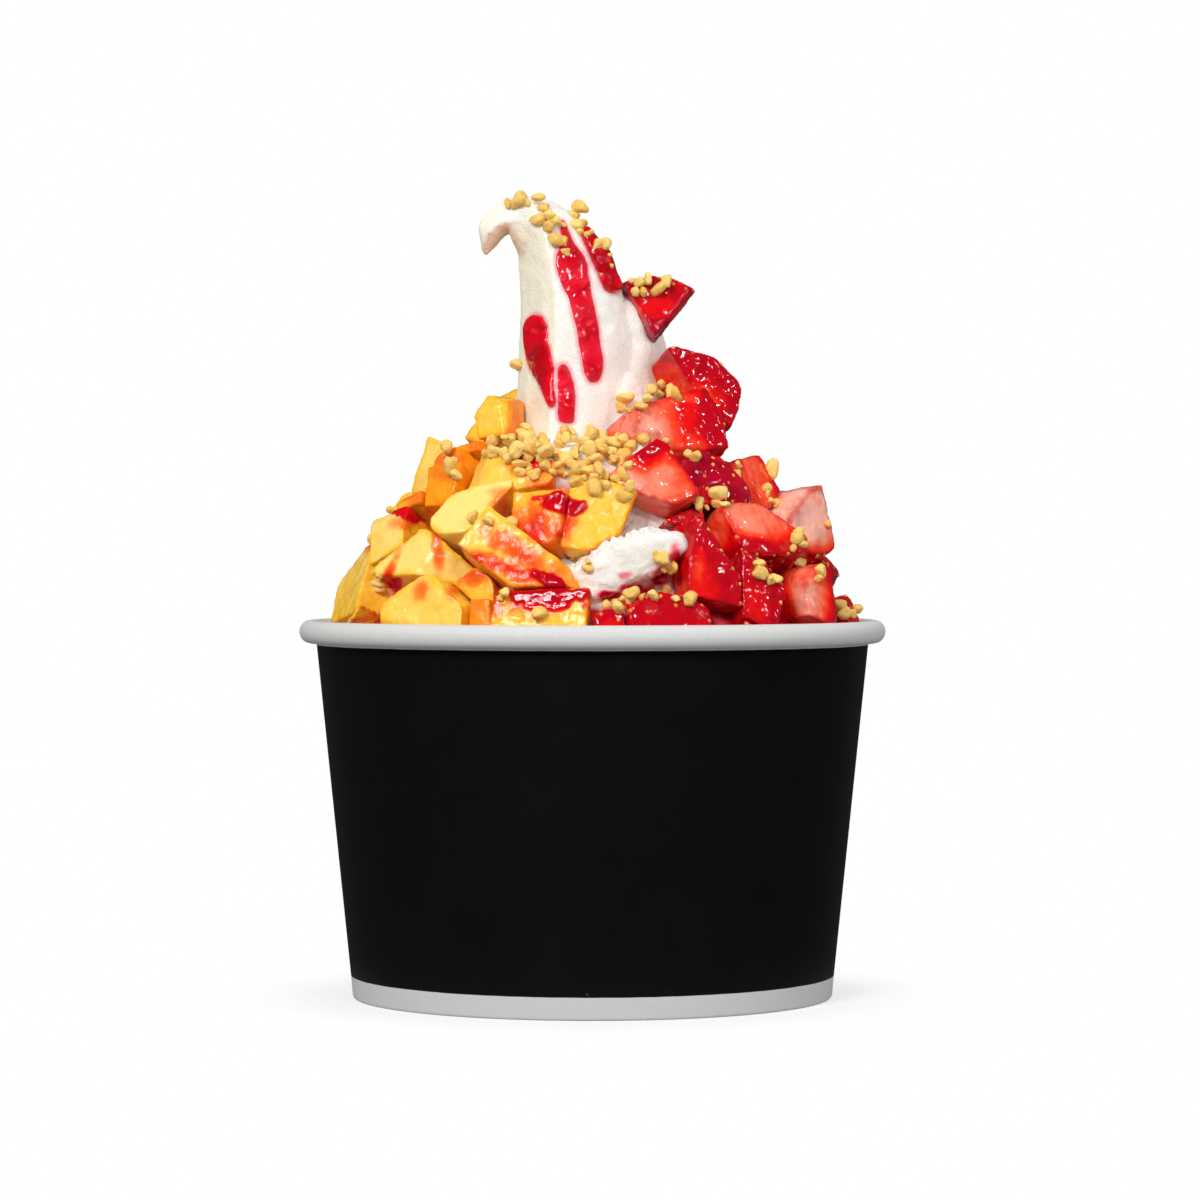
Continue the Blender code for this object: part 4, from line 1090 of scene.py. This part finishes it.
hand = random.Random(47)
seed_spots = []
for node in sorted(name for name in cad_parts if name.startswith("strawberry")):
    piece = cut_piece(node, BERRY_ROUNDING, BERRY_SWELL)
    points, normals = points_of(piece), normals_of(piece)
    low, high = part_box(node)
    middle = np.array((low + high) / 2)
    number = int(node[-2:])
    if number <= len(STRAWBERRY_LOOKS):
        look, side, radius, paleness, coating, whites, reds = STRAWBERRY_LOOKS[number - 1]
    else:
        turn = math.degrees(math.atan2(middle[0], -middle[1]))
        look, radius = (turn, 25, hand.uniform(-35, 35)), FAR_BERRY_RADIUS
        side = hand.choice([(1, 0, 0), (0, 1, 1), (0, 0, 1), (-1, 1, 0)])
        paleness, coating, whites, reds = hand.uniform(0.05, 0.8), hand.choice((0, 0, 0.2, 0.6)), [], []
    axes = face_axes(*look)
    way = sum((axis * share for axis, share in zip(axes, side)), Vector()).normalized()
    reach = ((points - middle) @ np.array(way)).max() / MM
    heart = middle + np.array(way) * (reach - radius) * MM
    ray = (points - heart) / (radius * MM)
    distance = np.linalg.norm(ray, axis=1)
    outward = (normals * ray).sum(axis=1) / np.maximum(distance, 1e-6)
    skin = smoothstep(outward, 0.82, 0.92) * smoothstep(distance, 0.86, 0.95)
    pale = paleness - smoothstep(distance, 0.7, 1) * 0.8
    coats = np.zeros(len(points))
    if coating:
        coats = smoothstep(coating + 0.9 * wander(points, 7 * MM, 5) - (1 - coating) * 0.5, 0.2, 0.5)
    pale = pale + spotted(piece, whites) * 0.5 - spotted(piece, reds) * 0.9
    # Seeds sit in pits, spread evenly over the skin
    taken = []
    order = np.flatnonzero(skin > 0.7)
    hand.shuffle(order)
    for index in order:
        if all(np.linalg.norm(points[index] - points[other]) > SEED_SPACING * MM for other in taken):
            taken.append(index)
    for index in taken:
        away = np.linalg.norm(points - points[index], axis=1) / MM
        points = points - normals * ((1 - smoothstep(away, 0.1, PIT_RADIUS)) * PIT_DEPTH * MM)[:, None]
        seed_spots.append((Vector(points[index]), Vector(normals[index])))
    put_points(piece, points)
    dressed(piece, berry, coats, BERRY_SAUCE_THICK, skin=skin, pale=pale,
            ray=ray / np.maximum(distance, 0.2)[:, None])
    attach(piece, "root")
    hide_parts(node)
    fruit[piece.name] = piece

# -------------------- strawberry seeds
# Each seed is a hard pale grain lying flat in its pit, its thin end up and a little askew.


def scattered(name, model, places):
    """One mesh of many copies of a small model, each with its own matrix."""
    shape = points_of(model)
    loops = [tuple(face.vertices) for face in model.data.polygons]
    count = len(shape)
    copies = [shape @ np.array(place.to_3x3()).T + np.array(place.translation) for place in places]
    faces = [tuple(at + nth * count for at in face) for nth in range(len(places)) for face in loops]
    mesh = bpy.data.meshes.new(name)
    mesh.from_pydata(np.vstack(copies).tolist(), [], faces)
    thing = bpy.data.objects.new(name, mesh)
    bpy.context.scene.collection.objects.link(thing)
    bpy.data.objects.remove(model)
    return thing


seed = added(bpy.ops.mesh.primitive_ico_sphere_add, subdivisions=2, radius=1)
points = points_of(seed)
points[:, :2] *= (1 - 0.45 * smoothstep(points[:, 1], -0.2, 1))[:, None]
put_points(seed, points)
places = []
for spot, normal in seed_spots:
    turn = normal.to_track_quat("Z", "Y").to_matrix().to_4x4()
    spin = Matrix.Rotation(hand.uniform(-0.5, 0.5), 4, "Z")
    size = Matrix.Diagonal((*(Vector(SEED_SIZE) * MM * hand.uniform(0.85, 1.15)), 1))
    places.append(Matrix.Translation(spot + normal * 0.08 * MM) @ turn @ spin @ size)
seeds = scattered("strawberry_seeds", seed, places)
husk = Finish("seed_husk", IOR=1.45, Coat_Weight=0.4, Coat_Roughness=0.1)
tint = husk.noise(260)
husk.drive(Base_Color=husk.mix(tint.step(0.35, 0.65), (232, 176, 84), (196, 92, 44)),
           Roughness=0.35 + tint * 0.2)
husk.on(seeds)
smooth_by_angle(seeds, 180)
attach(seeds, "root")

# -------------------- bee pollen
# Dry golden pellets, most 1.5 to 4 mm long, packed by bees and no two alike. They were
# scattered by hand from above and lie thickest round the foot of the peak, some on others.

GRAIN_SIZE = 2.25
# By the viewer's turn: x and z where a run starts, x and z where it ends, spread, count
GRAIN_RUNS = {
    0: [(-18, 105.2, 5.8, 104, 2.8, 90), (-14, 101, 6, 101.4, 2.2, 60), (-5.6, 100, 4.8, 98, 1.6, 24),
        (-20, 103.2, -14, 104.6, 1, 10), (-9.4, 149.6, -6.4, 144, 2, 26),
        (-3.6, 148.2, 2.8, 143.4, 1.6, 24), (3.2, 143.2, 7.6, 137.4, 1.6, 20),
        (-16.6, 151.6, -11.4, 151.8, 0.4, 4), (-14.6, 120.6, -13.8, 119, 0.5, 3),
        (6.8, 136.4, 13.2, 134, 1.6, 13), (4.4, 112.8, 10, 112.6, 0.8, 6),
        (11, 115.4, 16, 115.4, 0.8, 5), (8.6, 106.4, 14.4, 106, 0.8, 3),
        (19, 103.2, 20.8, 102.6, 0.5, 3), (27, 106.6, 29.2, 98.6, 0.8, 4),
        (20.4, 94.4, 26, 93.6, 0.8, 6), (32.4, 97.4, 35.6, 93.6, 0.8, 7),
        (38.6, 90.2, 39.6, 82.6, 1.2, 5), (42.6, 81.4, 43.6, 79.8, 0.8, 3),
        (46.4, 74.4, 50.6, 73.6, 0.8, 6), (12.2, 84.8, 15.6, 80.6, 0.8, 5), (3, 74.6, 9.2, 75.6, 1, 8),
        (10.6, 77.6, 19, 75.2, 1, 5), (30, 82, 35.6, 79.6, 1, 5), (-2.2, 82.4, 1, 82.8, 0.8, 2),
        (4.2, 96.8, 8.8, 95.2, 0.6, 2), (-17.6, 76.4, -16.4, 76, 0.3, 2),
        (-41.6, 82, -40.2, 78, 0.6, 4), (-27.4, 104.4, -26, 99.6, 0.8, 4),
        (-23.6, 91.8, -14.8, 90.6, 0.6, 3), (-10.6, 73.4, -9.8, 72.8, 0.3, 1)],
    180: [(-14, 108, 14, 108, 4, 16), (-4, 148, -1, 138, 1.6, 7), (-34, 86, 34, 86, 8, 16)],
    105: [(-22, 94, 22, 94, 8, 12)],
    -105: [(-22, 94, 22, 94, 8, 12)],
}
CROWDED = 0.7
APART = 1.05
SUNK = 0.22
STACKED = Vector((0, -0.225, 0.6))
GRAIN_MODELS = 8

trees = {name: tree_of(piece) for name, piece in fruit.items()}
trees["cream"] = cream_tree
trees["sauce"] = tree_of(sauce_runs)
trees["cup"] = tree_of(cup)
hand = random.Random(11)
laid = []
for turn, run in [(turn, run) for turn, runs in GRAIN_RUNS.items() for run in runs]:
    x0, z0, x1, z1, spread, count = run
    for step in range(count):
        share = (step + hand.random()) / count
        size = GRAIN_SIZE * hand.choice((0.55, 0.75, 0.9, 1, 1.1, 1.3)) * MM
        x = x0 + (x1 - x0) * share + hand.uniform(-spread, spread)
        z = z0 + (z1 - z0) * share + hand.uniform(-spread, spread)
        hit = sighted(trees, x, z, turn)
        if hit is None or hit[0] == "cup":
            continue
        _, place, normal, _ = hit
        spot = place + normal * size * SUNK
        near = [(spot - other).length / (size + width) * 2 for other, width in laid]
        if near and min(near) < CROWDED:
            spot = spot + STACKED * size
            near = [(spot - other).length / (size + width) * 2 for other, width in laid]
            if min(near) < CROWDED or min(near) > APART:
                continue
        laid.append((spot, size))

grains = []
for kind in range(GRAIN_MODELS):
    model = added(bpy.ops.mesh.primitive_ico_sphere_add, subdivisions=3, radius=0.5)
    points = points_of(model)
    # Pressed flat on a few sides, then dented; every other kind is crumblier
    for _ in range(7):
        way = np.array(Vector((hand.gauss(0, 1), hand.gauss(0, 1), hand.gauss(0, 1))).normalized())
        over = np.maximum(points @ way - hand.uniform(0.3, 0.42), 0)
        points = points - 0.85 * over[:, None] * way
    crumbly = 0.5 + kind % 2
    dents = wander(points, 0.5, 11 + kind) * 0.24 + wander(points, 0.17, 31 + kind) * 0.12
    put_points(model, points * (1.12 + dents * crumbly)[:, None])
    places = []
    for spot, size in laid[kind::GRAIN_MODELS]:
        stretch = Matrix.Diagonal((size * hand.uniform(0.95, 1.35), size * hand.uniform(0.8, 1.05),
                                   size * hand.uniform(0.65, 0.95), 1))
        way = Matrix.Rotation(hand.uniform(0, math.tau), 4, Vector((hand.random(), hand.random(), 1)))
        places.append(Matrix.Translation(spot) @ way @ stretch)
    grains.append(scattered(f"grains_{kind}", model, places))
pollen = join(*grains)
pollen.name = "bee_pollen"
each = len(pollen.data.vertices) // len(laid)
shade = np.repeat([hand.uniform(0, 1) for _ in laid], each)
paint(pollen, "shade", shade)
dust = Finish("bee_pollen", IOR=1.45)
powder = dust.noise(1800, 4, 0.65)
patch = dust.noise(500, 2)
tint = dust.attribute("shade") * 0.7 + (patch - 0.5) * 0.6
gold = dust.layered((248, 214, 124),
                    (tint.step(0, 0.9), (234, 184, 88)),
                    (powder.step(0.54, 0.7) * 0.45, (190, 128, 50)))
dust.drive(Base_Color=gold, Roughness=0.7 + powder * 0.2,
           Normal=dust.bump(powder * 0.8 + patch, 0.00045, 0.8))
dust.on(pollen)
smooth_by_angle(pollen, 180)
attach(pollen, "root")

# -------------------- sizes

low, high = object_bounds()
